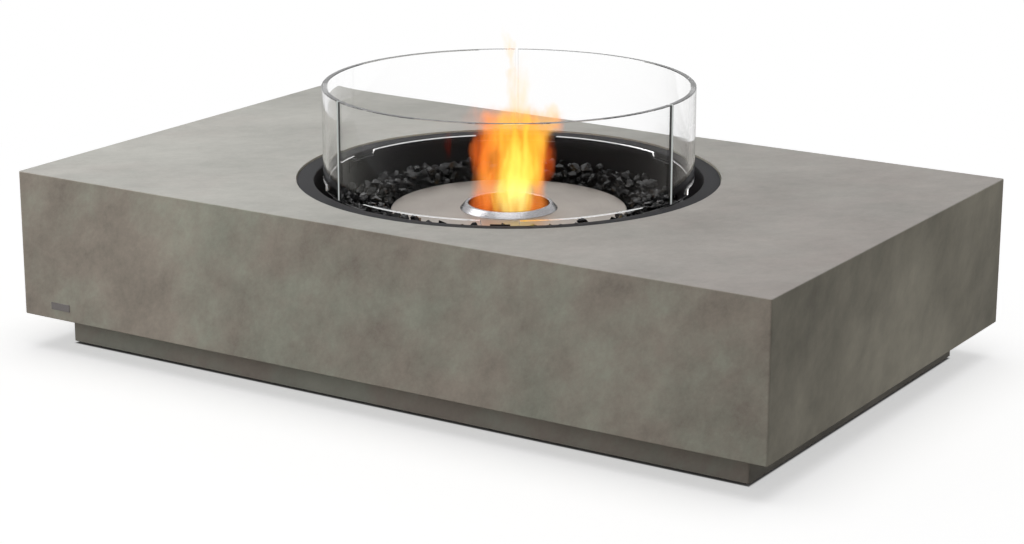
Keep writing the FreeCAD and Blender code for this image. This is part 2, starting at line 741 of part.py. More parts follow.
def make_tray():
    hole = S.small_screw_radius + S.fit_clearance
    profile = [
        (well_bore, shelf_under), (tray_outer, shelf_under), (tray_outer, flange_under),
        (S.tray_flange_radius, flange_under), (S.tray_flange_radius, flange_top),
        (S.tray_bore_radius, flange_top), (S.tray_bore_radius, shelf_top), (well_bore, shelf_top),
    ]
    tray = turned("tray_sheet_metal", profile)
    tools = []
    for number, (x, y, _) in enumerate(around(well_screw_count, well_screw_circle, WELL_SCREW_TURN), 1):
        tools.append(cylinder(f"tray_hole_{number}", hole, S.tray_sheet, x, y, shelf_under))
    for number, degrees in enumerate(rivet_angles, 1):
        tools.append(radial_rod(f"tray_rivet_hole_{number}", S.rivet_radius + S.fit_clearance,
                                bracket_inner, tray_outer + S.tray_sheet, degrees, rivet_level))
    piece(cut("tray_cut", tray, tools), "fire_tray")

    inner = tray_outer + S.tray_hole_gap + S.gasket_margin
    gasket = turned("gasket_ring", ring_points(inner, S.tray_flange_radius - S.gasket_margin,
                                               rebate_floor, flange_under))
    piece(gasket, "tray_gasket")

    sheet = S.tray_sheet
    well_edge = well_bore + S.well_flange
    well_profile = [
        (0, well_floor - sheet), (well_bore + sheet, well_floor - sheet),
        (well_bore + sheet, shelf_under - sheet), (well_edge, shelf_under - sheet),
        (well_edge, shelf_under), (well_bore, shelf_under), (well_bore, well_floor),
        (0, well_floor),
    ]
    well = turned("well_sheet_metal", well_profile)
    tools = [
        cylinder(f"well_hole_{number}", hole, sheet, x, y, shelf_under - sheet)
        for number, (x, y, _) in enumerate(around(well_screw_count, well_screw_circle, WELL_SCREW_TURN), 1)
    ]
    piece(cut("well_cut", well, tools), "burner_well")

    screws = []
    nuts = []
    length = 2 * sheet + S.small_nut_height + S.small_thread_proud
    nut_low = shelf_under - sheet - S.small_nut_height
    for number, (x, y, _) in enumerate(around(well_screw_count, well_screw_circle, WELL_SCREW_TURN), 1):
        screws.append(small_screw(f"well_screw_{number}", x, y, shelf_top, length))
        outer = hexagon(f"well_nut_outer_{number}", S.small_nut_radius, S.small_nut_height,
                        x, y, nut_low)
        inner = cylinder(f"well_nut_bore_{number}", hole, S.small_nut_height, x, y, nut_low)
        nuts.append(cut(f"well_nut_{number}", outer, [inner]))
    piece(group("well_screw_group", screws), "well_screws")
    piece(group("well_nut_group", nuts), "well_nuts")


def make_heat_shield():
    sheet = S.tray_sheet
    length = S.shield_length
    width = S.shield_width
    outer = box("shield_outer", (length, width, S.shield_lip), (-length / 2, -width / 2, frame_top))
    inner_size = (length - 2 * sheet, width - 2 * sheet, S.shield_lip - sheet)
    inner = box("shield_inner", inner_size,
                (sheet - length / 2, sheet - width / 2, frame_top + sheet))
    places = [(x * S.inner_cross_offset, y * S.shield_screw_spread) for x in (-1, 1) for y in (-1, 1)]
    hole = S.small_screw_radius + S.fit_clearance
    holes = [
        cylinder(f"shield_hole_{number}", hole, sheet, x, y, frame_top)
        for number, (x, y) in enumerate(places, 1)
    ]
    piece(cut("shield_cut", outer, [inner] + holes), "heat_shield")
    length = sheet + S.tube_wall + S.small_nut_height
    screws = [
        small_screw(f"shield_screw_{number}", x, y, frame_top + sheet, length)
        for number, (x, y) in enumerate(places, 1)
    ]
    piece(group("shield_screw_group", screws), "shield_screws")


# Glass screen and its brackets

def make_brackets():
    glass_inner = S.glass_radius - S.glass_thickness
    channel_in = glass_inner - S.bracket_side_gap
    channel_out = S.glass_radius + S.bracket_side_gap
    sheet = S.bracket_sheet
    lip_top = bracket_seat + S.bracket_lip
    wall = S.tray_bore_radius
    profile = [
        (channel_in - sheet, bracket_under), (wall - sheet, bracket_under),
        (wall - sheet, bracket_foot), (wall, bracket_foot), (wall, bracket_seat),
        (channel_out + sheet, bracket_seat), (channel_out + sheet, lip_top),
        (channel_out, lip_top), (channel_out, bracket_seat), (channel_in, bracket_seat),
        (channel_in, lip_top), (channel_in - sheet, lip_top),
    ]
    pads = []
    rivets = []
    for number in range(BRACKET_COUNT):
        centre = 360.0 * number / BRACKET_COUNT
        start = centre - S.bracket_angle / 2
        label = f"glass_bracket_{number + 1}"
        body = turned(f"{label}_channel", profile, S.bracket_angle, start)
        angles = rivet_angles[RIVETS_PER_BRACKET * number:RIVETS_PER_BRACKET * (number + 1)]
        holes = []
        for index, degrees in enumerate(angles, 1):
            holes.append(radial_rod(f"{label}_rivet_hole_{index}", S.rivet_radius + S.fit_clearance,
                                    bracket_inner - sheet, wall + sheet / 2, degrees, rivet_level))
            rivets.append(make_rivet(f"{label}_rivet_{index}", degrees))
        piece(cut(f"{label}_cut", body, holes), label)
        pad_points = ring_points(channel_in, channel_out, bracket_seat, glass_foot_level)
        pads.append(turned(f"{label}_pad", pad_points, S.bracket_angle, start))
    piece(group("glass_pad_group", pads), "glass_pads")
    piece(group("rivet_group", rivets), "bracket_rivets")


def make_rivet(name, degrees):
    """A rivet through a bracket's leg and the tray wall, with a flat head on each side."""
    head = S.rivet_head_height
    shank = radial_rod(f"{name}_shank", S.rivet_radius, bracket_inner - head,
                       tray_outer + head, degrees, rivet_level)
    inner_head = radial_rod(f"{name}_inner_head", S.rivet_head_radius, bracket_inner - head,
                            bracket_inner - RIVET_SEAT, degrees, rivet_level)
    outer_head = radial_rod(f"{name}_outer_head", S.rivet_head_radius, tray_outer + RIVET_SEAT,
                            tray_outer + head, degrees, rivet_level)
    return joined(name, [shank, inner_head, outer_head])


def make_glass():
    outer = S.glass_radius
    inner = outer - S.glass_thickness
    arris = S.glass_arris
    half_gap = S.glass_gap_angle / 2
    panel_angle = 360.0 / PANEL_COUNT
    wall_profile = [
        (inner, table_top), (outer, table_top), (outer, glass_rim - arris),
        (outer - arris, glass_rim), (inner + arris, glass_rim), (inner, glass_rim - arris),
    ]
    foot_profile = [
        (inner + arris, glass_foot_level), (outer - arris, glass_foot_level),
        (outer, glass_foot_level + arris), (outer, table_top), (inner, table_top),
        (inner, glass_foot_level + arris),
    ]
    for number in range(PANEL_COUNT):
        label = f"glass_panel_{number + 1}"
        start = panel_angle * number + half_gap
        middle = panel_angle * (number + 0.5) - S.middle_foot_angle / 2
        finish = panel_angle * (number + 1) - half_gap
        parts = [
            turned(f"{label}_wall", wall_profile, panel_angle - 2 * half_gap, start),
            turned(f"{label}_first_foot", foot_profile, S.end_foot_angle, start),
            turned(f"{label}_middle_foot", foot_profile, S.middle_foot_angle, middle),
            turned(f"{label}_last_foot", foot_profile, S.end_foot_angle,
                   finish - S.end_foot_angle),
        ]
        piece(joined(f"{label}_joined", parts), label)


# Burner

def make_burner():
    plate = S.plate_radius
    under = plate_top - S.plate_sheet
    opening = S.mouth_radius + S.collar_skirt_sheet + S.collar_gap
    casing = plate - S.plate_sheet - S.casing_gap
    sheet = S.casing_sheet
    casing_foot = well_floor + S.burner_foot_height
    screw_level = plate_top - S.plate_rim / 2
    screw_hole = S.rivet_radius + S.fit_clearance
    screw_angles = [degrees for _, _, degrees in around(BURNER_SCREW_COUNT, plate, BURNER_TURN)]

    plate_profile = [
        (opening, under), (plate - S.plate_sheet, under),
        (plate - S.plate_sheet, plate_top - S.plate_rim), (plate, plate_top - S.plate_rim),
        (plate, plate_top), (opening, plate_top),
    ]
    body = turned("plate_pressing", plate_profile)
    holes = [
        radial_rod(f"plate_screw_hole_{number}", screw_hole, casing, plate + sheet,
                   degrees, screw_level)
        for number, degrees in enumerate(screw_angles, 1)
    ]
    piece(cut("plate_cut", body, holes), "burner_top_plate")

    casing_profile = [
        (0, casing_foot), (casing, casing_foot), (casing, under - sheet),
        (casing - sheet, under - sheet), (casing - sheet, casing_foot + sheet),
        (0, casing_foot + sheet),
    ]
    body = turned("casing_pressing", casing_profile)
    holes = [
        radial_rod(f"casing_screw_hole_{number}", screw_hole, casing - 2 * sheet, casing + sheet,
                   degrees, screw_level)
        for number, degrees in enumerate(screw_angles, 1)
    ]
    piece(cut("casing_cut", body, holes), "burner_casing")

    tank = S.reservoir_radius
    tank_floor = casing_foot + sheet + S.reservoir_floor_gap
    tank_edge = tank + S.reservoir_flange
    tank_profile = [
        (0, tank_floor), (tank, tank_floor), (tank, under - sheet), (tank_edge, under - sheet),
        (tank_edge, under), (tank - sheet, under), (tank - sheet, tank_floor + sheet),
        (0, tank_floor + sheet),
    ]
    piece(turned("reservoir_pressing", tank_profile), "fuel_reservoir")

    wool_floor = tank_floor + sheet
    wool_top = wool_floor + S.wool_height
    wool_radius = tank - sheet - S.casing_gap
    piece(cylinder("wool_disc", wool_radius, S.wool_height, 0, 0, wool_floor), "ceramic_wool")

    disc = new_body("mesh_disc")
    plan = new_sketch(disc, "mesh_plan", "XY_Plane", wool_top)
    circle(plan, wool_radius)
    circle(plan, S.mesh_hole_radius)
    for ring in range(1, MESH_RINGS):
        for x, y, _ in around(HOLES_PER_RING * ring, S.mesh_hole_pitch * ring):
            circle(plan, S.mesh_hole_radius, x, y)
    pad(disc, "mesh_pad", plan, S.mesh_thickness)
    piece(disc, "perforated_disc")

    feet = [
        cylinder(f"burner_foot_{number}", S.burner_foot_radius, S.burner_foot_height, x, y, well_floor)
        for number, (x, y, _) in enumerate(around(BURNER_FOOT_COUNT, S.burner_foot_circle, BURNER_TURN), 1)
    ]
    piece(group("burner_foot_group", feet), "burner_feet")

    screws = []
    for number, degrees in enumerate(screw_angles, 1):
        name = f"burner_screw_{number}"
        shank = radial_rod(f"{name}_shank", S.rivet_radius, casing - 2 * sheet,
                           plate + S.rivet_head_height, degrees, screw_level)
        head = radial_rod(f"{name}_head", S.rivet_head_radius, plate + RIVET_SEAT,
                          plate + S.rivet_head_height, degrees, screw_level)
        screws.append(joined(name, [shank, head]))
    piece(group("burner_screw_group", screws), "burner_screws")

    mouth = S.mouth_radius
    skirt = mouth + S.collar_skirt_sheet
    collar_top = plate_top + S.collar_height
    collar_profile = [
        (mouth, plate_top - S.collar_skirt), (skirt, plate_top - S.collar_skirt),
        (skirt, plate_top), (S.collar_base_radius, plate_top),
        (S.collar_base_radius - S.collar_shoulder_lean, plate_top + S.collar_shoulder),
        (S.collar_base_radius - S.collar_crown_lean, collar_top - S.collar_crown),
        (S.collar_top_radius, collar_top), (mouth + S.collar_mouth_arris, collar_top),
        (mouth, collar_top - S.collar_mouth_arris),
    ]
    piece(turned("collar_ring", collar_profile), "burner_collar")


# Glass charcoal: angular lumps in two layers on the tray's shelf

LUMP_SIDES = 6
LUMP_BELTS = ((0.0, 0.72), (0.42, 1.0), (1.0, 0.62))
LUMP_CORNER_SWAY = 0.28
LUMP_REACHES = (0.86, 1.0)


def lump(centre, half_depth, half_width, low, height, angle, dice):
    """A closed many-sided lump: three like outlines at rising levels, each a size of its own."""
    outline_points = []
    for corner in range(LUMP_SIDES):
        direction = 2 * math.pi * (corner + dice.uniform(-LUMP_CORNER_SWAY, LUMP_CORNER_SWAY)) / LUMP_SIDES
        reach = dice.uniform(*LUMP_REACHES)
        across = half_depth * reach * math.cos(direction)
        along = half_width * reach * math.sin(direction)
        x = across * math.cos(angle) - along * math.sin(angle)
        y = across * math.sin(angle) + along * math.cos(angle)
        outline_points.append((x, y))
    belts = []
    for share, scale in LUMP_BELTS:
        z = low + share * height
        belts.append([
            FreeCAD.Vector(centre[0] + x * scale, centre[1] + y * scale, z)
            for x, y in outline_points
        ])
    faces = [Part.Face(Part.makePolygon(belt + belt[:1])) for belt in (belts[0], belts[-1])]
    for below, above in zip(belts, belts[1:]):
        for corner in range(LUMP_SIDES):
            after = (corner + 1) % LUMP_SIDES
            ring = [below[corner], below[after], above[after], above[corner], below[corner]]
            faces.append(Part.Face(Part.makePolygon(ring)))
    solid = Part.Solid(Part.Shell(faces))
    if solid.Volume < 0:
        solid.reverse()
    return solid


def clear_of_screws(radius, angle, reach):
    """True where a lump on the shelf would miss the heads of the well's screws."""
    for x, y, _ in around(well_screw_count, well_screw_circle, WELL_SCREW_TURN):
        distance = math.hypot(radius * math.cos(angle) - x.value, radius * math.sin(angle) - y.value)
        if distance < reach + S.small_head_radius.value:
            return False
    return True


def charcoal_places(inner, outer):
    """The places of the lumps in rings: radius, angle, half depth and half width."""
    depth = (outer - inner) / CHARCOAL_RINGS
    space = S.charcoal_space.value
    for ring in range(CHARCOAL_RINGS):
        radius = inner + depth * (ring + 0.5)
        count = int(2 * math.pi * radius / S.charcoal_pitch.value)
        pitch = 2 * math.pi * radius / count
        narrowest = pitch * (1 - depth / radius / 2)
        for number in range(count):
            angle = 2 * math.pi * (number + 0.5) / count
            yield radius, angle, (depth - space) / 2, (narrowest - space) / 2


def make_charcoal():
    dice = random.Random(CHARCOAL_SEED)
    inner = (well_bore + S.charcoal_margin).value
    outer = (S.tray_bore_radius - S.charcoal_margin).value
    lower = S.charcoal_layer.value
    upper = S.charcoal_upper_layer.value
    floor = shelf_top.value
    sectors = [[] for _ in range(CHARCOAL_SECTORS)]
    for radius, angle, half_depth, half_width in charcoal_places(inner, outer):
        carries = dice.random() < UPPER_SHARE
        lower_height = lower if carries else lower * dice.uniform(*LOWER_HEIGHTS)
        upper_height = upper * dice.uniform(*UPPER_HEIGHTS)
        centre = (radius * math.cos(angle), radius * math.sin(angle))
        sector = sectors[int(angle / (2 * math.pi) * CHARCOAL_SECTORS)]
        if not clear_of_screws(radius, angle, max(half_depth, half_width)):
            continue
        sector.append(lump(centre, half_depth, half_width, floor, lower_height, angle, dice))
        if carries:
            sector.append(lump(centre, half_depth, half_width, floor + lower, upper_height, angle, dice))
    for number, solids in enumerate(sectors, 1):
        item = doc.addObject("Part::Feature", f"charcoal_lumps_{number}")
        item.Shape = Part.makeCompound(solids)
        piece(item, f"charcoal_{number}")


def check_and_write():
    doc.recompute()
    for item in doc.Objects:
        for word in ("Invalid", "Error"):
            if word in item.State:
                raise ValueError(f"{item.Label} is {item.State}")
    for item in pieces:
        shape = item.Shape
        if shape.isNull() or not shape.isValid() or shape.Volume <= 0:
            raise ValueError(f"{item.Label} has no sound shape")
    os.makedirs("parts", exist_ok=True)
    for item in pieces:
        item.Shape.exportStep(f"parts/{item.Label}.step")
        box_of_piece = item.Shape.BoundBox
        print(f"{item.Label}: {len(item.Shape.Solids)} solids, {item.Shape.Volume / 1000:.1f} cm3, "
              f"z {box_of_piece.ZMin:.1f} to {box_of_piece.ZMax:.1f}")


make_table_shell()
make_plinth()
make_inserts()
make_frame()
make_frame_fasteners()
make_floor_pads()
make_badge()
make_tray()
make_heat_shield()
make_brackets()
make_glass()
make_burner()
make_charcoal()
check_and_write()
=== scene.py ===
# %% [markdown]
# Fire pit table
#
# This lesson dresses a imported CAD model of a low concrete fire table: a cast box on a recessed
# plinth, with a round tray let into its top that holds a steel burner, lumps of black glass and a
# curved glass screen. The CAD model gives every size and place, so each piece here is built from
# the boxes of the CAD nodes and sits exactly where they say. Pieces that are already right in the
# CAD model, such as the concrete body, only get a material.

# %% Load the frame
import math
import random

import bmesh
import bpy
from mathutils import Matrix, Vector


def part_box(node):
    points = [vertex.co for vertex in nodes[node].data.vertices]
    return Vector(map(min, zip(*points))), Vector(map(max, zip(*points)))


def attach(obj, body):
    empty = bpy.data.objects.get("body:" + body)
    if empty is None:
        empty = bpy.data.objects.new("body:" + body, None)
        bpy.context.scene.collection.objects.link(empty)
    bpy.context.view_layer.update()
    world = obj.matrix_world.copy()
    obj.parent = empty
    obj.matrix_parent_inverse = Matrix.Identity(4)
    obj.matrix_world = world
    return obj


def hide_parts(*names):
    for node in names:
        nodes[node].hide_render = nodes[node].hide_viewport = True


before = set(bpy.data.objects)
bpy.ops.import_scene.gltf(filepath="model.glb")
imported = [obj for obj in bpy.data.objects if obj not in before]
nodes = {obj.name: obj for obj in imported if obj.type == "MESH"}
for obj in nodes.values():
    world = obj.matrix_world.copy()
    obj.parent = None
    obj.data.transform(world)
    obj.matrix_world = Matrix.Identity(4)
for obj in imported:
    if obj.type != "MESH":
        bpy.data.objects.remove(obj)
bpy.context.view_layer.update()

scene = bpy.context.scene
MM = 0.001

# %% [markdown]
# Small helpers come first, so that each finish below reads as a recipe. Colours are written as sRGB
# hex, the way a colour picker shows them, and one function turns them linear. One function adds a
# node with its settings and inputs. The same trees could be wired by hand in the shader editor, but
# as calls they can be read and changed line by line, and they come out the same each time.

# %% Colour and node helpers
def linear(hex_colour):
    """An sRGB hex colour as linear red, green, blue and alpha."""
    channels = [int(hex_colour[i:i + 2], 16) / 255 for i in (0, 2, 4)]
    return tuple(
        c / 12.92 if c <= 0.04045 else ((c + 0.055) / 1.055) ** 2.4 for c in channels
    ) + (1.0,)


def join(tree, node, **inputs):
    """Set or link a node's inputs: Base_Color means the input of that name, _2 the one numbered 2."""
    for name, value in inputs.items():
        socket = node.inputs[int(name[1:]) if name[1:].isdigit() else name.replace("_", " ")]
        if isinstance(value, bpy.types.NodeSocket):
            tree.links.new(value, socket)
        else:
            socket.default_value = value


def add(tree, kind, settings=None, **inputs):
    """Add a shader or geometry node: plain settings first, then values or links for its inputs."""
    node = tree.nodes.new(kind)
    for name, value in (settings or {}).items():
        setattr(node, name, value)
    join(tree, node, **inputs)
    return node


def empty_material(name):
    """A material whose tree is empty, and that tree."""
    material = bpy.data.materials.new(name)
    material.use_nodes = True
    material.node_tree.nodes.clear()
    return material, material.node_tree


def new_material(name, **values):
    """A material with a Principled shader that has these values, its tree and the shader."""
    material, tree = empty_material(name)
    shader = add(tree, "ShaderNodeBsdfPrincipled", **values)
    add(tree, "ShaderNodeOutputMaterial", Surface=shader.outputs[0])
    return material, tree, shader


print("the hex grey 808080 is", round(linear("808080")[0], 3), "in linear light")

# %% [markdown]
# Every finish below is made of a few patterns: blotches of noise, a span of numbers stretched to
# another span, and colours mixed by them. A node group apiece would do the same in the editor, but
# a short function leaves the numbers where the finish is made.

# %% Pattern helpers
def object_place(tree):
    """Where a point lies on its object, in metres."""
    return add(tree, "ShaderNodeTexCoord").outputs["Object"]


def mapped(tree, vector, vector_type="POINT", **inputs):
    """A vector after a Mapping node with a Location, Rotation or Scale."""
    settings = {"vector_type": vector_type}
    return add(tree, "ShaderNodeMapping", settings, Vector=vector, **inputs).outputs[0]


def parts_of(tree, vector):
    """The x, y and z of a vector, as three sockets."""
    return add(tree, "ShaderNodeSeparateXYZ", Vector=vector).outputs


def noise(tree, vector, size_mm, detail=3.0, roughness=0.5, output="Fac"):
    """Noise whose blotches are about size_mm across."""
    node = add(tree, "ShaderNodeTexNoise", Vector=vector, Scale=1000.0 / size_mm, Detail=detail,
               Roughness=roughness)
    return node.outputs[output]


def spread(tree, value, low, high, to_low=0.0, to_high=1.0):
    """Stretch a span of a value to another span, held at its ends."""
    node = add(tree, "ShaderNodeMapRange", Value=value, From_Min=low, From_Max=high, To_Min=to_low,
               To_Max=to_high)
    return node.outputs["Result"]


def maths(tree, operation, *values):
    """One step of arithmetic on numbers."""
    inputs = {f"_{index}": value for index, value in enumerate(values)}
    return add(tree, "ShaderNodeMath", {"operation": operation}, **inputs).outputs[0]


def vector_maths(tree, operation, first, **inputs):
    """One step of arithmetic on vectors; a length comes out as a number."""
    node = add(tree, "ShaderNodeVectorMath", {"operation": operation}, _0=first, **inputs)
    return node.outputs["Value" if operation == "LENGTH" else "Vector"]


def blend(tree, factor, first, second, mode="MIX"):
    """Mix two colours by a factor."""
    settings = {"data_type": "RGBA", "blend_type": mode}
    return add(tree, "ShaderNodeMix", settings, _0=factor, _6=first, _7=second).outputs[2]


def shaded(tree, colour, shade):
    """A colour made lighter or darker by a factor near 1."""
    grey = add(tree, "ShaderNodeCombineColor", Red=shade, Green=shade, Blue=shade).outputs[0]
    return blend(tree, 1.0, colour, grey, "MULTIPLY")


def bump(tree, height, depth_mm, strength, **normal):
    """A bump of a depth in millimetres from a height between 0 and 1."""
    node = add(tree, "ShaderNodeBump", Height=height, Strength=strength, Distance=depth_mm * MM,
               **normal)
    return node.outputs[0]


print("blotches 240 mm across need a noise scale of", round(1000.0 / 240.0, 2))

# %% [markdown]
# Almost every metal piece here is spun or pressed round. So the mesh helpers round the corners of a
# profile, turn it about the upright axis and close it. A Screw and a Bevel modifier could do that
# too, but here each corner gets its own radius, and nothing is left to apply afterwards.

# %% Mesh helpers
WELD = 1e-6
SAME_POINT = 1e-7
SHARP_ANGLE = math.radians(38)


def new_object(name, build, material):
    """A mesh object at the origin, filled by a function that works on a bmesh."""
    mesh = bpy.data.meshes.new(name)
    shape = bmesh.new()
    build(shape)
    bmesh.ops.remove_doubles(shape, verts=shape.verts, dist=WELD)
    bmesh.ops.recalc_face_normals(shape, faces=shape.faces)
    mark_edges(shape)
    shape.to_mesh(mesh)
    shape.free()
    item = bpy.data.objects.new(name, mesh)
    scene.collection.objects.link(item)
    mesh.materials.append(material)
    return item


def mark_edges(shape):
    """Shade smooth, but keep edges sharp where the faces turn by more than an angle."""
    for face in shape.faces:
        face.smooth = True
    for edge in shape.edges:
        if len(edge.link_faces) == 2:
            edge.smooth = edge.calc_face_angle(0.0) < SHARP_ANGLE


def rounded(points, radii, steps):
    """Round the corners of a closed profile with soft curves, each with its own radius."""
    result = []
    for index, (point, radius) in enumerate(zip(points, radii)):
        here = Vector(point)
        before = Vector(points[index - 1]) - here
        after = Vector(points[(index + 1) % len(points)]) - here
        reach = min(radius, 0.45 * before.length, 0.45 * after.length)
        start = here + before.normalized() * reach
        end = here + after.normalized() * reach
        for step in range(steps + 1):
            share = step / steps
            bend = (1 - share) ** 2 * start + 2 * share * (1 - share) * here + share ** 2 * end
            result.append(tuple(bend))
    return result


def ring_point(shape, turn, radius, height):
    """A vertex at an angle about the upright axis."""
    return shape.verts.new((radius * math.cos(turn), radius * math.sin(turn), height))


def turn_profile(shape, profile, segments, closed=True):
    """Turn a profile of (radius, height) once round the upright axis."""
    rings = []
    for step in range(segments):
        turn = 2 * math.pi * step / segments
        rings.append([ring_point(shape, turn, radius, height) for radius, height in profile])
    pairs = len(profile) if closed else len(profile) - 1
    for step, first in enumerate(rings):
        second = rings[(step + 1) % segments]
        for index in range(pairs):
            after = (index + 1) % len(profile)
            distinct = []
            for corner in (first[index], second[index], second[after], first[after]):
                if all((corner.co - other.co).length > SAME_POINT for other in distinct):
                    distinct.append(corner)
            if len(distinct) >= 3:
                shape.faces.new(distinct)


print("a joint sharper than", round(math.degrees(SHARP_ANGLE)), "degrees stays an edge")

# %% [markdown]
# A dressed piece takes the place of its CAD nodes and rides on the same body, so that it moves as
# they do. A CAD node that is right as it is could be copied too, but it only needs a new material.

# %% Helpers that dress the CAD nodes
def fit(item, body, slot_name, *replaced):
    """Let a finished piece ride on its body in place of CAD nodes. The slot name is not used."""
    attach(item, body)
    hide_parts(*replaced)
    print(f"{item.name}: {len(item.data.polygons)} faces on {body}")


def paint(names, material):
    """Give CAD nodes a material in place of their own."""
    for name in names:
        item = nodes[name]
        item.data.materials.clear()
        item.data.materials.append(material)
    print(f"{material.name}: on {len(names)} CAD nodes")


print("there are", len(nodes), "CAD nodes to dress")

# %% [markdown]
# The camera stands where the photographer stood: its place and aim come from the perspective of the
# table's edges. They could be found by eye, but the corners of a box give them to a pixel. A long
# lens keeps the edges nearly parallel, so the field is narrow.

# %% Camera
CAMERA_PLACE = Vector((1.981, -3.101, 1.162))
CAMERA_AIM = Vector((0.0058, 0.0, 0.1235))
CAMERA_ROLL = math.radians(0.077)
LENS_MM = 90.0
SENSOR_MM = 36.0


def facing(place, target):
    """The turn that makes a camera or a lamp at a place face a target."""
    return (Vector(target) - Vector(place)).to_track_quat("-Z", "Y").to_matrix()


camera_data = bpy.data.cameras.new("camera")
camera_data.lens = LENS_MM
camera_data.sensor_width = SENSOR_MM
camera_data.sensor_fit = "HORIZONTAL"
camera = bpy.data.objects.new("camera", camera_data)
scene.collection.objects.link(camera)
camera_turn = facing(CAMERA_PLACE, CAMERA_AIM) @ Matrix.Rotation(CAMERA_ROLL, 3, "Z")
camera.matrix_world = Matrix.Translation(CAMERA_PLACE) @ camera_turn.to_4x4()
scene.camera = camera
print("camera is", round((CAMERA_AIM - CAMERA_PLACE).length, 3), "m from its aim")

# %% [markdown]
# The photo has a white background. A bright white world would give one, but it would also wash out
# every shade on the table. So the world is white only for what the camera, mirrors and glass see,
# by the Light Path node, and what lights the object is a plain grey sky.

# %% World
SKY_LEVEL = 0.22
WHITE = (1.0, 1.0, 1.0, 1.0)


def mixed_shader(tree, factor, first, second):
    """A mix of two shaders by a factor."""
    return add(tree, "ShaderNodeMixShader", _0=factor, _1=first.outputs[0], _2=second.outputs[0])


world = bpy.data.worlds.new("studio")
scene.world = world
world.use_nodes = True
tree = world.node_tree
tree.nodes.clear()
path = add(tree, "ShaderNodeLightPath").outputs
seen = maths(tree, "MAXIMUM", path["Is Camera Ray"], path["Is Glossy Ray"])
seen = maths(tree, "MAXIMUM", seen, path["Is Transmission Ray"])
sky = add(tree, "ShaderNodeBackground", Color=WHITE, Strength=SKY_LEVEL)
white = add(tree, "ShaderNodeBackground", Color=WHITE, Strength=1.0)
both = mixed_shader(tree, seen, sky, white)
add(tree, "ShaderNodeOutputWorld", Surface=both.outputs[0])
scene.view_settings.view_transform = "Standard"
print("the sky lights at", SKY_LEVEL, "and is seen at 1")

# %% [markdown]
# The floor is pale matt paper with a soft grey shadow under the table. A plain white floor would
# show as grey wherever it is lit less than fully, so this one has a little glow that lifts its lit
# part to white while the shadow still shows; further out it is plain white. Under the plinth it
# doesn't glow. Mirrors see only half of that white, so that satin metal shows the studio without
# shining, and the light that the floor sends back up is a warm grey.

# %% Floor
FLOOR_SEEN = "fcfcfc"
FLOOR_BOUNCE = "948f85"
MIRRORED_PAPER = 0.5
FLOOR_GLOW = 0.515
FLOOR_SIZE = 60.0
PAPER_NEAR = 1.0
PAPER_FAR = 1.7


def make_floor(shape):
    half = FLOOR_SIZE / 2
    corners = [(-half, -half), (half, -half), (half, half), (-half, half)]
    shape.faces.new([shape.verts.new((x, y, 0.0)) for x, y in corners])


def near_paper(tree, place):
    """Matt paper that glows a little, but not under the plinth."""
    plinth_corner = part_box("plinth")[1]
    parts = parts_of(tree, place)
    beyond_end = maths(tree, "SUBTRACT", maths(tree, "ABSOLUTE", parts[0]), plinth_corner.x)
    beyond_side = maths(tree, "SUBTRACT", maths(tree, "ABSOLUTE", parts[1]), plinth_corner.y)
    beyond = maths(tree, "MAXIMUM", beyond_end, beyond_side)
    level = spread(tree, beyond, -2.0 * MM, 1.0 * MM, 0.0, FLOOR_GLOW)
    glow = add(tree, "ShaderNodeEmission", Color=WHITE, Strength=level)
    matt = add(tree, "ShaderNodeBsdfDiffuse", Color=linear(FLOOR_SEEN))
    return add(tree, "ShaderNodeAddShader", _0=matt.outputs[0], _1=glow.outputs[0])


floor_paper, tree = empty_material("studio_paper")
place = object_place(tree)
far = add(tree, "ShaderNodeEmission", Color=WHITE, Strength=1.0)
away = spread(tree, vector_maths(tree, "LENGTH", place), PAPER_NEAR, PAPER_FAR)
paper = mixed_shader(tree, away, near_paper(tree, place), far)
path = add(tree, "ShaderNodeLightPath").outputs
mirrored = maths(tree, "MULTIPLY", path["Is Glossy Ray"], MIRRORED_PAPER)
seen = maths(tree, "MAXIMUM", path["Is Camera Ray"], path["Is Transmission Ray"])
seen = maths(tree, "MAXIMUM", seen, mirrored)
bounce = add(tree, "ShaderNodeBsdfDiffuse", Color=linear(FLOOR_BOUNCE))
total = mixed_shader(tree, seen, bounce, paper)
add(tree, "ShaderNodeOutputMaterial", Surface=total.outputs[0])
floor = new_object("floor", make_floor, floor_paper)
print("floor is", FLOOR_SIZE, "m across")

# %% [markdown]
# The photo's light is soft and even: the top is brightest, the front a little darker, the end
# darkest, and the shadow lies straight under the table. One wide light from above gives the top and
# the shadow, and two soft boxes give the front and the left part of the top their light. The boxes
# could light the floor too, but they would draw more shadows there, so light linking leaves it out.

# %% Lamps
CEILING_LEVEL = 0.285
CEILING_SOFTNESS = math.radians(50.0)
LEFT_WATTS = 7.15
FRONT_WATTS = 8.7


def add_lamp(kind, name, place, target, energy, **settings):
    """A lamp at a place that faces a target, with settings of its kind."""
    data = bpy.data.lights.new(name, kind)
    data.energy = energy
    for setting, value in settings.items():
        setattr(data, setting, value)
    lamp = bpy.data.objects.new(name, data)
    scene.collection.objects.link(lamp)
    lamp.matrix_world = Matrix.Translation(Vector(place)) @ facing(place, target).to_4x4()
    print(f"{name}: {kind.lower()} lamp")
    return lamp


def add_softbox(name, place, target, size, watts, colour="ffffff"):
    """A square soft lamp that lights the table but not the floor."""
    lamp = add_lamp("AREA", name, place, target, watts, shape="SQUARE", size=size,
                    color=linear(colour)[:3])
    left_out = bpy.data.collections.new(f"{name}_leaves_out")
    left_out.objects.link(floor)
    left_out.collection_objects[0].light_linking.link_state = "EXCLUDE"
    lamp.light_linking.receiver_collection = left_out


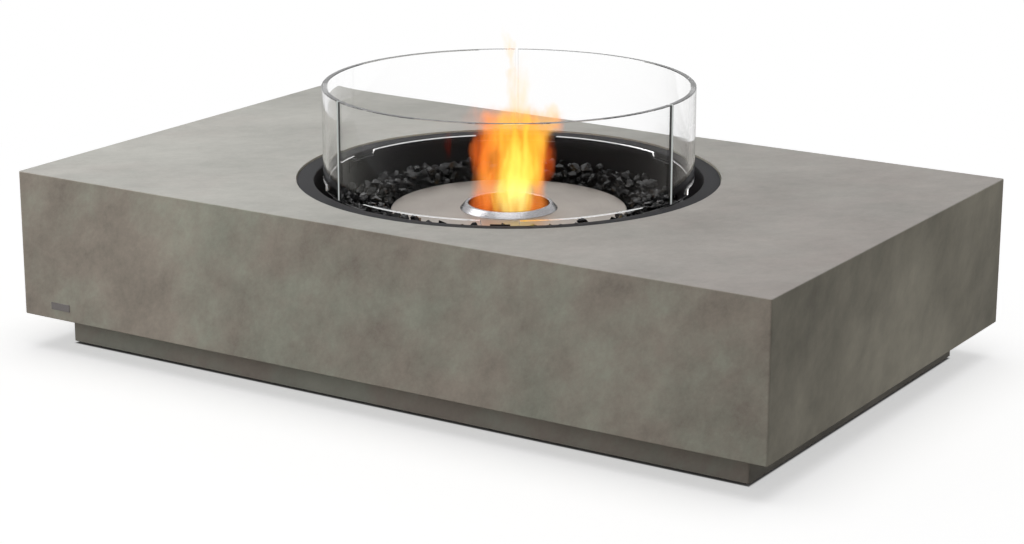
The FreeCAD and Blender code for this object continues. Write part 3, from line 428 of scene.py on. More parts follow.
add_lamp("SUN", "ceiling_light", (0.0, 0.0, 1.0), (0.0, 0.0, 0.0), CEILING_LEVEL * math.pi,
         angle=CEILING_SOFTNESS)
add_softbox("left_softbox", (-1.15, -0.26, 1.33), (-0.45, 0.0, 0.27), size=0.8, watts=LEFT_WATTS)
add_softbox("front_softbox", (-0.6, -2.05, 0.9), (0.05, -0.37, 0.16), size=0.9, watts=FRONT_WATTS,
            colour="fffdf8")

# %% [markdown]
# Cast concrete, sealed with a matt coat. The real panel is sprayed glass-fibre concrete: fine grained,
# nearly flat, with cloudy patches of cool green-grey and warm taupe a hand or two across, drawn out
# along the diagonal as a wiped mould leaves them, and a few pinholes. A photo of concrete could be
# wrapped round the box, but it would stretch at the edges and repeat. Solid patterns run through
# the block, so the patches come from two layers of stretched noise, one for light and dark and one
# for the tint, and the pinholes from a cell pattern. The top is calmer and grows warmer towards the
# right end, and the ends are calmer too. The colour changes little, so it never reads as paint.

# %% Concrete patterns
CLOUD_SHIFT = (0.35, 0.0, 0.1)
TINT_SHIFT = (-1.7, 0.6, 1.9)
DIAGONAL_TURN = (0.0, math.radians(54.7), math.radians(45.0))
CLOUD_REACH = 1.9
TINT_REACH = 1.5
WARM_TOP = "b8b0ab"
PORE_SPACING_MM = 26.0


def diagonal(tree, reach, shift):
    """Coordinates that draw a pattern out along the diagonal of x, y and z."""
    return mapped(tree, object_place(tree), "TEXTURE", Location=shift, Rotation=DIAGONAL_TURN,
                  Scale=(1.0, 1.0, reach))


def faces_here(tree):
    """Whether a point lies on an end, a long side or the top, as three numbers from 0 to 1."""
    normal = parts_of(tree, add(tree, "ShaderNodeNewGeometry").outputs["Normal"])
    return [spread(tree, maths(tree, "ABSOLUTE", part), 0.5, 0.8) for part in normal]


def cloud_noise(tree, patch_mm, end):
    """Noise for light and dark clouds: lively on the sides and top, calmer on the ends."""
    wiped = diagonal(tree, CLOUD_REACH, CLOUD_SHIFT)
    lively = noise(tree, wiped, patch_mm, 10.0, 0.79)
    calmer = maths(tree, "SUBTRACT", noise(tree, wiped, patch_mm, 6.0, 0.62), lively)
    return maths(tree, "MULTIPLY_ADD", calmer, end, lively)


def concrete_tint(tree, clouds, tints, side, top, colours):
    """Cool and warm patches on the sides, even ends, and a top that warms to the right."""
    cool, warm, even, cool_top = [linear(colour) for colour in colours]
    lean = maths(tree, "SUBTRACT", tints, clouds)
    mottled = blend(tree, spread(tree, lean, -0.12, 0.08), cool, warm)
    upright = blend(tree, maths(tree, "MULTIPLY", side, 0.9), even, mottled)
    across = spread(tree, parts_of(tree, object_place(tree))[0], 0.0, 0.55, 0.0, 0.7)
    warmth = maths(tree, "ADD", across, spread(tree, tints, 0.35, 0.65, -0.3, 0.3))
    lying = blend(tree, spread(tree, warmth, 0.0, 1.0), cool_top, linear(WARM_TOP))
    return blend(tree, top, upright, lying)


def concrete_shade(tree, clouds, wipes, side, top, foot, cloudy):
    """How light the concrete is: clouds, wiped streaks on the top, fine grain and painted shade at the
    foot.
    """
    depth = spread(tree, side, 0.0, 1.0, 1.55 * cloudy, 1.25 * cloudy)
    depth = maths(tree, "MULTIPLY", depth, spread(tree, top, 0.0, 1.0, 1.0, 0.4))
    swing = maths(tree, "MULTIPLY", spread(tree, clouds, 0.3, 0.7, -0.34, 0.34), depth)
    streaks = spread(tree, wipes, 0.3, 0.7, -0.03, 0.03)
    swing = maths(tree, "MULTIPLY_ADD", streaks, top, swing)
    grain = noise(tree, object_place(tree), 5.0, 3.0, 0.6)
    swing = maths(tree, "ADD", swing, spread(tree, grain, 0.3, 0.7, -0.02, 0.02))
    # Painted shade: the concrete is darker towards the ground, by the foot factor at the bottom and
    # full at 50 mm up.
    height = parts_of(tree, object_place(tree))[2]
    painted_foot_shade = spread(tree, height, 0.0, 50.0 * MM, foot, 1.0)
    return maths(tree, "MULTIPLY", maths(tree, "ADD", swing, 1.0), painted_foot_shade)


def concrete_relief(tree):
    """A fine skin, a slow swell and pinholes."""
    at = object_place(tree)
    pores = add(tree, "ShaderNodeTexVoronoi", Vector=at, Scale=1000.0 / PORE_SPACING_MM)
    pits = spread(tree, pores.outputs["Distance"], 0.02, 0.06)
    skin = bump(tree, noise(tree, at, 1.6, 3.0, 0.6), 0.05, 0.5)
    swell = bump(tree, noise(tree, at, 60.0, 2.0), 0.25, 0.35, Normal=skin)
    return bump(tree, pits, 0.35, 0.5, Normal=swell)


print("concrete patterns lean", round(math.degrees(DIAGONAL_TURN[1]), 1), "degrees")

# %% [markdown]
# The body and the plinth are cast from one mix, but the plinth is in the shade under the body. One
# material for both would be simpler. Two from one function let the plinth have smaller, fainter
# patches and painted shade that darkens its foot a little.

# %% Concrete materials
BODY_PATCH_MM = 240.0
PLINTH_PATCH_MM = 140.0
BODY_COLOURS = ("b2b4a8", "bab0a6", "bfbbae", "b4b3ad")
PLINTH_COLOURS = ("b4b5ab", "bab0a7", "b6b2a9", "b4b3ad")


def cast_concrete(name, colours, patch_mm, foot=1.0, cloudy=1.0):
    """Sealed cast concrete in a cool, a warm, an even and a top colour.

    A foot below 1 paints shade on it, darker towards the ground. Cloudy sets how strong the patches
    are."""
    material, tree, shader = new_material(name, IOR=1.5, Specular_IOR_Level=0.3)
    end, side, top = faces_here(tree)
    clouds = cloud_noise(tree, patch_mm, end)
    tints = noise(tree, diagonal(tree, TINT_REACH, TINT_SHIFT), patch_mm, 7.0, 0.68)
    brushed = mapped(tree, object_place(tree), Rotation=(0.0, 0.0, 0.12), Scale=(0.4, 1.9, 1.0))
    wipes = noise(tree, brushed, patch_mm * 0.5, 6.0, 0.62)
    tint = concrete_tint(tree, clouds, tints, side, top, colours)
    shade = concrete_shade(tree, clouds, wipes, side, top, foot, cloudy)
    join(tree, shader, Base_Color=shaded(tree, tint, shade),
         Roughness=spread(tree, wipes, 0.3, 0.7, 0.62, 0.74), Normal=concrete_relief(tree))
    return material


concrete = cast_concrete("sealed_cast_concrete", BODY_COLOURS, BODY_PATCH_MM)
# The plinth's copy has fainter patches and painted shade at its foot.
plinth_concrete = cast_concrete("shaded_cast_concrete", PLINTH_COLOURS, PLINTH_PATCH_MM,
                                foot=0.76, cloudy=0.5)
paint(["table_shell"], concrete)
paint(["plinth"], plinth_concrete)

# %% [markdown]
# The tray and the brackets wear a powder coat, a fine orange-peel skin baked on to steel. Inside the
# tray, below its flange, the coat is painted darker, as painted shade in the deep recess. The peel
# could be modelled, but it's a few hundredths of a millimetre deep, so a bump from fine noise does. A
# grey without it looks like plastic.

# %% Powder coats
PAINTED_SHADE_FADE = 12.0 * MM


def powder_coat(name, colour, roughness, painted_shade_below=None):
    """Baked powder coat on steel. Where a level is given, the coat is painted darker below it, as
    shade.
    """
    material, tree, shader = new_material(name, IOR=1.5, Specular_IOR_Level=0.06)
    at = object_place(tree)
    peel = noise(tree, at, 1.2, 2.0)
    dust = spread(tree, noise(tree, at, 35.0, 4.0), 0.35, 0.75, 0.0, 0.12)
    tone = blend(tree, dust, linear(colour), linear("3a3a3a"))
    # Painted shade: below the given level the coat fades to near black, as the inside of a recess
    # looks in shade.
    if painted_shade_below is not None:
        height = parts_of(tree, at)[2]
        painted_shade = spread(tree, height, painted_shade_below - PAINTED_SHADE_FADE, painted_shade_below, 0.8, 0.0)
        tone = blend(tree, painted_shade, tone, linear("0f0e0e"))
    join(tree, shader, Base_Color=tone, Normal=bump(tree, peel, 0.04, 0.6),
         Roughness=spread(tree, peel, 0.2, 0.8, roughness - 0.05, roughness + 0.08))
    return material


# The tray's coat gets painted shade from just under its flange downwards.
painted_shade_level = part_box("fire_tray")[1].z - 3.0 * MM
tray_coat = powder_coat("graphite_powder_coat", "353537", 0.58, painted_shade_level)
bracket_coat = powder_coat("black_powder_coat", "1a1a1b", 0.55)
paint(["burner_well", "well_screws", "bracket_rivets"], tray_coat)
paint([f"glass_bracket_{number}" for number in range(1, 7)], bracket_coat)

# %% [markdown]
# The burner is brushed stainless steel. Brushing leaves thousands of short scratches that run round
# a spun piece. An anisotropic shader would stretch the highlights as they do, but needs a direction
# at each point; noise stretched along the circle shows the scratches themselves, in the roughness
# and in a shallow bump. A metal keeps the default IOR.

# %% Stainless steel
SCRATCH_STRETCH = 3.0
READY_SCALED_MM = 1000.0


def polar_coordinates(tree, along, across):
    """Coordinates that run round the upright axis: angle, distance from the axis and height."""
    x, y, z = parts_of(tree, object_place(tree))
    flat = add(tree, "ShaderNodeCombineXYZ", X=x, Y=y).outputs[0]
    turned = maths(tree, "MULTIPLY", maths(tree, "ARCTAN2", y, x), along)
    far = maths(tree, "MULTIPLY", vector_maths(tree, "LENGTH", flat), across)
    tall = maths(tree, "MULTIPLY", z, across)
    return add(tree, "ShaderNodeCombineXYZ", X=turned, Y=far, Z=tall).outputs[0]


def spun_stainless(name, colours, roughness, scratch_mm, relief):
    """Stainless steel brushed as it turned: fine rings of scratches that catch the light."""
    material, tree, shader = new_material(name, Metallic=1.0)
    at = polar_coordinates(tree, SCRATCH_STRETCH, 1000.0 / scratch_mm)
    scratches = noise(tree, at, READY_SCALED_MM, 3.0, 0.6)
    smear = noise(tree, object_place(tree), 60.0, 4.0)
    clean, worn = [linear(colour) for colour in colours]
    join(tree, shader, Base_Color=blend(tree, spread(tree, smear, 0.35, 0.7), clean, worn),
         Roughness=spread(tree, scratches, 0.25, 0.75, *roughness),
         Normal=bump(tree, scratches, 0.02, relief))
    return material


brushed_steel = spun_stainless("brushed_stainless_steel", ("a8a19a", "9e9790"), (0.40, 0.50), 1.1,
                               0.35)
bright_steel = spun_stainless("satin_stainless_steel", ("9e9d9f", "959496"), (0.25, 0.28), 0.8, 0.1)
paint(["burner_casing", "fuel_reservoir", "perforated_disc", "burner_feet", "burner_screws"],
      brushed_steel)

# %% [markdown]
# Inside the body sit a galvanised steel frame, zinc plated bolts, brass inserts, rubber pads,
# silicone under the glass and ceramic fibre round the fire. They hardly show, so each gets a simple
# finish: dull zinc crystals from a cell pattern for the frame, and one function with a colour, a
# roughness and a grain for the rest. A material apiece would say no more about them.

# %% Small finishes
CRYSTAL_MM = 12.0


def galvanised_steel(name):
    """Hot-dip galvanised steel: dull zinc crystals."""
    material, tree, shader = new_material(name, Metallic=1.0)
    crystals = add(tree, "ShaderNodeTexVoronoi", Vector=object_place(tree),
                   Scale=1000.0 / CRYSTAL_MM)
    tone = blend(tree, crystals.outputs["Color"], linear("8d9396"), linear("a9aeb0"))
    dullness = spread(tree, crystals.outputs["Distance"], 0.0, 0.6, 0.38, 0.6)
    join(tree, shader, Base_Color=tone, Roughness=dullness)
    return material


def plain_finish(name, colour, metallic, roughness, grain_mm, depth_mm):
    """A plain finish with fine grain: zinc plate, brass, rubber, silicone or fibre."""
    material, tree, shader = new_material(name, Metallic=metallic)
    grain = noise(tree, object_place(tree), grain_mm, 4.0, 0.6)
    tone = shaded(tree, linear(colour), spread(tree, grain, 0.3, 0.7, 0.86, 1.08))
    join(tree, shader, Base_Color=tone, Normal=bump(tree, grain, depth_mm, 0.6),
         Roughness=spread(tree, grain, 0.2, 0.8, roughness - 0.06, roughness + 0.06))
    return material


zinc_sheet = galvanised_steel("galvanised_steel")
zinc_plate = plain_finish("zinc_plated_steel", "b9bbbd", 1.0, 0.32, 4.0, 0.02)
brass = plain_finish("turned_brass", "b5944c", 1.0, 0.30, 2.0, 0.02)
rubber = plain_finish("moulded_rubber", "1d1d1e", 0.0, 0.7, 1.5, 0.05)
silicone = plain_finish("black_silicone", "1c1c1d", 0.0, 0.55, 2.0, 0.02)
fibre = plain_finish("ceramic_fibre", "d6d2c8", 0.0, 0.95, 2.5, 0.6)

paint([name for name in nodes if name.startswith("frame_")] + ["heat_shield"], zinc_sheet)
paint(["shell_bolts", "shell_washers", "plinth_bolts", "plinth_washers", "pad_screws",
       "shield_screws", "well_nuts"], zinc_plate)
paint(["shell_inserts", "plinth_inserts", "pad_inserts"], brass)
paint(["floor_pads"], rubber)
paint(["glass_pads"], silicone)
paint(["tray_gasket", "ceramic_wool"], fibre)

# %% [markdown]
# The drop-in tray is one spun steel pressing: a flat flange that lies just below the concrete, a
# straight wall, and a shelf for the charcoal. It could be cut from cylinders with Boolean
# modifiers, but those leave hard, untidy corners. A lathe profile with small bend radii gives the
# soft line of light that a real press bend has.

# %% Tray
tray_low, tray_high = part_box("fire_tray")
plate_low, plate_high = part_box("burner_top_plate")
SHEET = 2.0 * MM
BEND = 2.6 * MM
TRAY_BORE = 287.0 * MM
SHELF_GAP = 6.0 * MM
ROUND_SEGMENTS = 256
flange_radius = tray_high.x
flange_top = tray_high.z
shelf_under = tray_low.z
shelf_top = shelf_under + SHEET


def make_tray(shape):
    shelf_bore = plate_high.x + SHELF_GAP
    profile = [
        (shelf_bore, shelf_under), (TRAY_BORE + SHEET, shelf_under),
        (TRAY_BORE + SHEET, flange_top - SHEET), (flange_radius, flange_top - SHEET),
        (flange_radius, flange_top), (TRAY_BORE, flange_top), (TRAY_BORE, shelf_top),
        (shelf_bore, shelf_top),
    ]
    radii = [0.3 * MM, BEND, 0.6 * MM, 0.5 * MM, 0.8 * MM, BEND, 1.0 * MM, 0.3 * MM]
    turn_profile(shape, rounded(profile, radii, steps=4), ROUND_SEGMENTS)


fit(new_object("tray_pressing", make_tray, tray_coat), "tray", "tray_black", "fire_tray")

# %% [markdown]
# The burner's top plate is a thin spun disc with its rim turned down, brushed in rings. The collar
# is a satin ring that slopes up from the plate to a softly rounded lip, with a skirt that drops into
# the mouth. A torus would do for a ring seen from afar, but its slope, lip and skirt each catch the
# light in their own way, so both pieces are turned from a profile like the tray.

# %% Burner plate and collar
collar_low, collar_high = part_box("burner_collar")
COLLAR_SEGMENTS = 192
MOUTH = 60.0 * MM
plate_radius = plate_high.x
plate_top = plate_high.z
collar_top = collar_high.z


def make_plate(shape):
    inner = MOUTH + 1.8 * MM
    profile = [
        (inner, plate_top - SHEET), (plate_radius - SHEET, plate_top - SHEET),
        (plate_radius - SHEET, plate_low.z), (plate_radius, plate_low.z),
        (plate_radius, plate_top), (inner, plate_top),
    ]
    radii = [value * MM for value in (0.2, 1.0, 0.3, 0.3, 2.2, 0.3)]
    turn_profile(shape, rounded(profile, radii, steps=5), ROUND_SEGMENTS)


def make_collar(shape):
    base = collar_high.x
    skirt = MOUTH + 1.5 * MM
    foot = plate_top + 0.02 * MM
    profile = [
        (MOUTH, collar_low.z), (skirt, collar_low.z), (skirt, foot), (base - 0.2 * MM, foot),
        (base, foot + 0.25 * MM), (base - 7.6 * MM, collar_top - 0.9 * MM),
        (MOUTH + 2.4 * MM, collar_top), (MOUTH, collar_top - 1.2 * MM),
    ]
    radii = [value * MM for value in (0.4, 0.4, 0.3, 0.1, 0.1, 2.6, 1.2, 1.0)]
    turn_profile(shape, rounded(profile, radii, steps=5), COLLAR_SEGMENTS)


fit(new_object("burner_plate", make_plate, brushed_steel), "burner", "burner_stainless",
    "burner_top_plate")
fit(new_object("collar_ring", make_collar, bright_steel), "collar", "collar_stainless",
    "burner_collar")

# %% [markdown]
# Clear glass shows mostly by its edges. The panes are low-iron glass, quite clear and calm where
# they're seen face on. The ends are ground and pale and frosted from outside, with a faint painted
# glow that stands in for the light the panes lead there; where they show through the pane they are
# painted dark, as shade. A see-through shader on a single sheet would be quicker to render, but has no
# thickness; here light really bends in a solid wall.

# %% Glass materials
GLASS_IOR = 1.45
MIRROR_TINT = (0.08, 0.08, 0.08, 1.0)
EDGE_PAINTED_GLOW = 0.2

glass, _, _ = new_material("toughened_clear_glass", Base_Color=WHITE, IOR=GLASS_IOR,
                           Specular_Tint=MIRROR_TINT, Roughness=0.0, Transmission_Weight=1.0)
ground_glass, tree, shader = new_material("ground_glass_edge", Emission_Color=WHITE, IOR=GLASS_IOR,
                                          Roughness=0.5)
# Painted light and shade on the ground ends: seen from outside they glow a little, and seen from
# behind, through the pane, they are painted near black.
behind = add(tree, "ShaderNodeNewGeometry").outputs["Backfacing"]
join(tree, shader, Base_Color=blend(tree, behind, linear("ccd2d0"), linear("121313")),
     Emission_Strength=spread(tree, behind, 0.0, 1.0, EDGE_PAINTED_GLOW, 0.0))
print("glass materials:", glass.name, "and", ground_glass.name)

# %% [markdown]
# The screen is three panels of curved toughened glass, 8 mm thick, each standing on three feet cut
# from the same sheet, with black silicone under them. A cylinder with a Solidify modifier would give
# the wall, but not the feet. So each panel is a strip of cross-sections whose lower end drops at a
# foot, with real chamfers along its edges and real gaps between the panels.

# %% Glass screen
GLASS_OUTER = 274.0 * MM
GLASS_INNER = 266.0 * MM
ARRIS = 0.8 * MM
LOWER_ARRIS = 0.45 * MM
SEAM_HALF_ANGLE = math.radians(0.5)
END_FOOT_ANGLE = math.radians(12.9)
MIDDLE_FOOT_ANGLE = math.radians(10.9)
FOOT_EASE = math.radians(0.35)
PANEL_STEPS = 120
glass_low, glass_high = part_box("glass_panel_1")
foot_level = glass_low.z
rim_level = glass_high.z
table_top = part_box("table_shell")[1].z


def panel_foot_spans(start, finish):
    """The three stretches of a panel's lower edge that reach down as feet."""
    middle = (start + finish) / 2
    return (
        (start, start + END_FOOT_ANGLE),
        (middle - MIDDLE_FOOT_ANGLE / 2, middle + MIDDLE_FOOT_ANGLE / 2),
        (finish - END_FOOT_ANGLE, finish),
    )


def panel_turns(start, finish, spans):
    """The angles of a panel's cross-sections: even steps, and a stop on each side of a foot's edge."""
    stops = {start + (finish - start) * step / PANEL_STEPS for step in range(PANEL_STEPS + 1)}
    stops |= {start, finish}
    for low, high in spans:
        near = (low, high, low - FOOT_EASE, high + FOOT_EASE)
        stops |= {stop for stop in near if start <= stop <= finish}
    turns = sorted(stops)
    return [turns[0]] + [b for a, b in zip(turns, turns[1:]) if b - a > 1e-5]


def panel_section(shape, turn, foot):
    """One cross-section of a panel, a tall rectangle with cut corners."""
    section = [
        (GLASS_INNER + LOWER_ARRIS, foot), (GLASS_OUTER - LOWER_ARRIS, foot),
        (GLASS_OUTER, foot + LOWER_ARRIS),
        (GLASS_OUTER, rim_level - ARRIS), (GLASS_OUTER - ARRIS, rim_level),
        (GLASS_INNER + ARRIS, rim_level), (GLASS_INNER, rim_level - ARRIS),
        (GLASS_INNER, foot + LOWER_ARRIS),
    ]
    return [ring_point(shape, turn, radius, height) for radius, height in section]


def make_panel(shape, start, finish):
    """A curved wall whose lower edge follows the feet, with an end cap at each side."""
    spans = panel_foot_spans(start, finish)
    rings = []
    for turn in panel_turns(start, finish, spans):
        in_foot = any(low - 1e-6 <= turn <= high + 1e-6 for low, high in spans)
        rings.append(panel_section(shape, turn, foot_level if in_foot else table_top))
    for first, second in zip(rings, rings[1:]):
        for index in range(len(first)):
            after = (index + 1) % len(first)
            shape.faces.new([first[index], second[index], second[after], first[after]])
    shape.faces.new(rings[0])
    shape.faces.new(list(reversed(rings[-1])))


for number, body in enumerate(("glass_one", "glass_two", "glass_three")):
    start = math.radians(120.0 * number) + SEAM_HALF_ANGLE
    finish = math.radians(120.0 * (number + 1)) - SEAM_HALF_ANGLE
    panel = new_object(f"curved_glass_{number + 1}", lambda shape: make_panel(shape, start, finish),
                       glass)
    panel.data.materials.append(silicone)
    panel.data.materials.append(ground_glass)
    for face in panel.data.polygons:
        if face.center.z < foot_level + LOWER_ARRIS:
            face.material_index = 1
        elif len(face.vertices) > 4:
            face.material_index = 2
    fit(panel, body, "screen_glass", f"glass_panel_{number + 1}")

# %% [markdown]
# Glass charcoal is black slag glass broken into lumps. Each has a few dozen flat, glossy faces. A
# sphere with a rough displacement would look like coal; glass breaks in flat facets, and the hull
# of points scattered on a squashed ball has just those. Nine lumps are enough, since each copy is
# turned and sized anew.

# %% Black glass and lump shapes
LUMP_SHAPES = 9
LUMP_POINTS = 17
lump_dice = random.Random(5)


def black_glass():
    """Broken black slag glass: opaque, glossy, with a faint waviness on each face."""
    material, tree, shader = new_material("broken_black_glass", Base_Color=linear("0c0b0b"),
                                          IOR=1.52, Specular_IOR_Level=0.23)
    at = object_place(tree)
    crust = noise(tree, at, 4.0, 3.0, 0.6)
    haze = noise(tree, at, 18.0, 3.0)
    join(tree, shader, Roughness=spread(tree, haze, 0.35, 0.7, 0.1, 0.3),
         Normal=bump(tree, crust, 0.9, 0.8))
    return material


def make_lump(shape):
    """The hull of points scattered on a squashed ball one unit across."""
    squash = Vector((1.0, lump_dice.uniform(0.75, 0.95), lump_dice.uniform(0.62, 0.85)))
    for _ in range(LUMP_POINTS):
        direction = Vector([lump_dice.gauss(0.0, 1.0) for _ in range(3)]).normalized()
        reach = 0.5 * lump_dice.uniform(0.86, 1.0)
        shape.verts.new([reach * d * s for d, s in zip(direction, squash)])
    hull = bmesh.ops.convex_hull(shape, input=shape.verts)
    inside = [item for item in hull["geom_interior"] if isinstance(item, bmesh.types.BMVert)]
    bmesh.ops.delete(shape, geom=inside, context="VERTS")


charcoal_glass = black_glass()
lumps = bpy.data.collections.new("lump_shapes")
for number in range(LUMP_SHAPES):
    lump = new_object(f"lump_shape_{number}", make_lump, charcoal_glass)
    for face in lump.data.polygons:
        face.use_smooth = False
    scene.collection.objects.unlink(lump)
    lumps.objects.link(lump)

# %% [markdown]
# Hundreds of lumps lie on the tray's shelf. They could be dropped by a rigid body simulation, but
# that is slow and never falls the same way twice. A Geometry Nodes tree strews them in four layers
# from fixed seeds instead, each lump turned and sized at random. The upper layers are narrower, so
# that the heap is highest round the burner and falls off to the wall.

# %% Charcoal layers
LUMP_SPACING = 13.5 * MM
LUMP_SIZE = 19.0 * MM
LEVEL_WOBBLE = 2.5 * MM
SIZE_SPAN = (0.78, 1.22)
MOST_PER_SQUARE_METRE = 4000.0
FULL_TURN = (2 * math.pi, 2 * math.pi, 2 * math.pi)


def random_number(tree, low, high, seed):
    """A random number for each point."""
    node = add(tree, "FunctionNodeRandomValue", {"data_type": "FLOAT"}, _2=low, _3=high, Seed=seed)
    return node.outputs[1]


def scattered_points(tree, ring, farthest, spacing, seed):
    """Points scattered on a flat ring, none farther from the axis than a given reach."""
    scatter = add(tree, "GeometryNodeDistributePointsOnFaces", {"distribute_method": "POISSON"},
                  Mesh=ring, Distance_Min=spacing, Density_Max=MOST_PER_SQUARE_METRE, Seed=seed)
    place = add(tree, "GeometryNodeInputPosition").outputs[0]
    flat = vector_maths(tree, "MULTIPLY", place, _1=(1.0, 1.0, 0.0))
    beyond = maths(tree, "GREATER_THAN", vector_maths(tree, "LENGTH", flat), farthest)
    kept = add(tree, "GeometryNodeDeleteGeometry", {"domain": "POINT"}, Selection=beyond,
               Geometry=scatter.outputs["Points"])
    return kept.outputs[0]


def layer_of_lumps(tree, source, points, level, size, seed):
    """A lump on each point, raised to about a level, turned and sized at random."""
    wobble = random_number(tree, -LEVEL_WOBBLE, LEVEL_WOBBLE, seed + 50)
    lift = add(tree, "ShaderNodeCombineXYZ", Z=maths(tree, "ADD", level, wobble))
    raised = add(tree, "GeometryNodeSetPosition", Geometry=points, Offset=lift.outputs[0])
    turn = add(tree, "FunctionNodeRandomValue", {"data_type": "FLOAT_VECTOR"}, _1=FULL_TURN,
               Seed=seed + 100)
    scale = maths(tree, "MULTIPLY", size, random_number(tree, *SIZE_SPAN, seed + 150))
    strew = add(tree, "GeometryNodeInstanceOnPoints", Points=raised.outputs[0], Instance=source,
                Pick_Instance=True, Rotation=turn.outputs[0], Scale=scale)
    return strew.outputs[0]


print("lumps are about", round(LUMP_SIZE / MM), "mm across")

# %% [markdown]
# The layers are joined, made real and given their glass in one tree, whose spacing and size are
# named inputs. The finished bed is saved as a plain mesh, so that it needs no modifier any more.

# %% Charcoal bed
BED_INNER = plate_radius + 3.0 * MM + LUMP_SIZE / 2
BED_OUTER = TRAY_BORE - 3.0 * MM - LUMP_SIZE / 2
# Each layer's level above the shelf and width in millimetres, and its seed.
LAYERS = ((12.5, 100.0, 3), (22.5, 95.0, 8), (33.0, 74.0, 14), (42.5, 44.0, 21))


def float_input(tree, name, value):
    """A named number among a tree's inputs; returns its identifier."""
    socket = tree.interface.new_socket(name, in_out="INPUT", socket_type="NodeSocketFloat")
    socket.default_value = value
    return socket.identifier


def charcoal_tree():
    """The tree that strews the bed, with the identifiers of its spacing and its size."""
    tree = bpy.data.node_groups.new("strewn_charcoal", "GeometryNodeTree")
    tree.interface.new_socket("Geometry", in_out="INPUT", socket_type="NodeSocketGeometry")
    spacing_id = float_input(tree, "Lump Spacing", LUMP_SPACING)
    size_id = float_input(tree, "Lump Size", LUMP_SIZE)
    tree.interface.new_socket("Geometry", in_out="OUTPUT", socket_type="NodeSocketGeometry")
    ring, spacing, size = add(tree, "NodeGroupInput").outputs[:3]
    shapes = add(tree, "GeometryNodeCollectionInfo", {"transform_space": "ORIGINAL"},
                 Collection=lumps, Separate_Children=True, Reset_Children=True)
    gather = add(tree, "GeometryNodeJoinGeometry")
    for level_mm, width_mm, seed in LAYERS:
        farthest = BED_INNER + width_mm * MM
        points = scattered_points(tree, ring, farthest, spacing, seed)
        layer = layer_of_lumps(tree, shapes.outputs[0], points, level_mm * MM, size, seed)
        tree.links.new(layer, gather.inputs[0])
    real = add(tree, "GeometryNodeRealizeInstances", _0=gather.outputs[0])
    coat = add(tree, "GeometryNodeSetMaterial", _0=real.outputs[0], Material=charcoal_glass)
    add(tree, "NodeGroupOutput", _0=coat.outputs[0])
    return tree, spacing_id, size_id


def make_shelf_ring(shape):
    profile = [(BED_INNER, shelf_top), (BED_OUTER, shelf_top)]
    turn_profile(shape, profile, segments=96, closed=False)


shelf_ring = new_object("shelf_ring", make_shelf_ring, charcoal_glass)
tree, spacing_id, size_id = charcoal_tree()
strew = shelf_ring.modifiers.new("strew", "NODES")
strew.node_group = tree
strew[spacing_id] = LUMP_SPACING
strew[size_id] = LUMP_SIZE
evaluated = shelf_ring.evaluated_get(bpy.context.evaluated_depsgraph_get())
bed_mesh = bpy.data.meshes.new_from_object(evaluated)
bpy.data.objects.remove(shelf_ring)
bed = bpy.data.objects.new("glass_charcoal", bed_mesh)
scene.collection.objects.link(bed)
fit(bed, "tray", "charcoal_glass", *[f"charcoal_{number}" for number in range(1, 7)])

# %% [markdown]
# The flame isn't a solid piece, but it rides on the burner. A fluid simulation would give a true
# flame, but no two runs of it match a given one. Here it's glowing, slightly smoky gas in a closed
# tube over the burner's mouth, made of some thirty soft tongues, each with its place, size and
# colour, that overlap into a yellow core with orange sides.

# %% Flame tongues
# Across, deep and above the middle of the collar's top; half the width, depth and height, all in
# millimetres; how strongly it glows; its colour.
TONGUES = (
    (-24, 4, 72, 21, 26, 64, 1.4, "ff9a38"),
    (-25, 2, 106, 20, 22, 30, 1.3, "ff9438"),
    (-42, -6, 74, 16, 18, 38, 1.1, "fa7a28"),
    (-49, -4, 76, 10, 12, 26, 0.5, "ff7c38"),
    (20, 2, 74, 38, 34, 62, 2.6, "ffcc48"),
    (12, 0, 108, 50, 32, 34, 2.0, "ffbe40"),
    (62, 10, 120, 15, 16, 28, 0.9, "ffbe58"),
    (9, 0, 6, 30, 28, 40, 2.1, "fff88c"),
    (13, 0, 52, 27, 22, 46, 2.4, "fff36c"),
    (-2, 0, 26, 18, 22, 34, 1.2, "fff070"),
    (55, -8, 64, 13, 20, 36, 0.7, "f86c24"),
    (38, 2, 66, 17, 24, 58, 1.9, "ffb83c"),
    (45, 2, 34, 11, 20, 34, 0.8, "ff9c40"),
    (-32, 0, 20, 20, 24, 40, 0.8, "ff9840"),
    (0, 0, -10, 60, 56, 26, 0.9, "f0762c"),
    (-20, -12, 4, 6, 10, 26, 0.9, "ffe468"),
    (30, -10, 2, 5, 10, 24, 0.7, "ffe468"),
    (2, 4, 178, 8, 8, 82, 0.7, "ffce90"),
    (14, 2, 164, 19, 14, 58, 0.4, "ffce90"),
    (16, 0, 142, 12, 12, 46, 0.45, "ffd078"),
    (-24, 0, 124, 22, 20, 23, 0.6, "ffa074"),
    (4, 0, 126, 22, 20, 22, 0.8, "ffac5c"),
    (32, 0, 122, 22, 20, 20, 0.7, "ffb468"),
    (72, 8, 116, 10, 14, 18, 0.4, "ff9878"),
    (-50, 6, 122, 18, 18, 26, 0.14, "ff9a6c"),
    (52, 0, 98, 12, 18, 22, 0.7, "ffb040"),
    (-9, 4, 44, 13, 22, 52, 1.0, "ffb440"),
    (-42, 0, -4, 16, 26, 26, 0.8, "d8662a"),
    (42, 0, -4, 16, 26, 26, 0.9, "ec8c3c"),
    (-90, 0, 82, 5, 8, 22, 0.14, "e04422"),
)
TONGUE_RIM = 1.07
TONGUE_CORE = 0.62


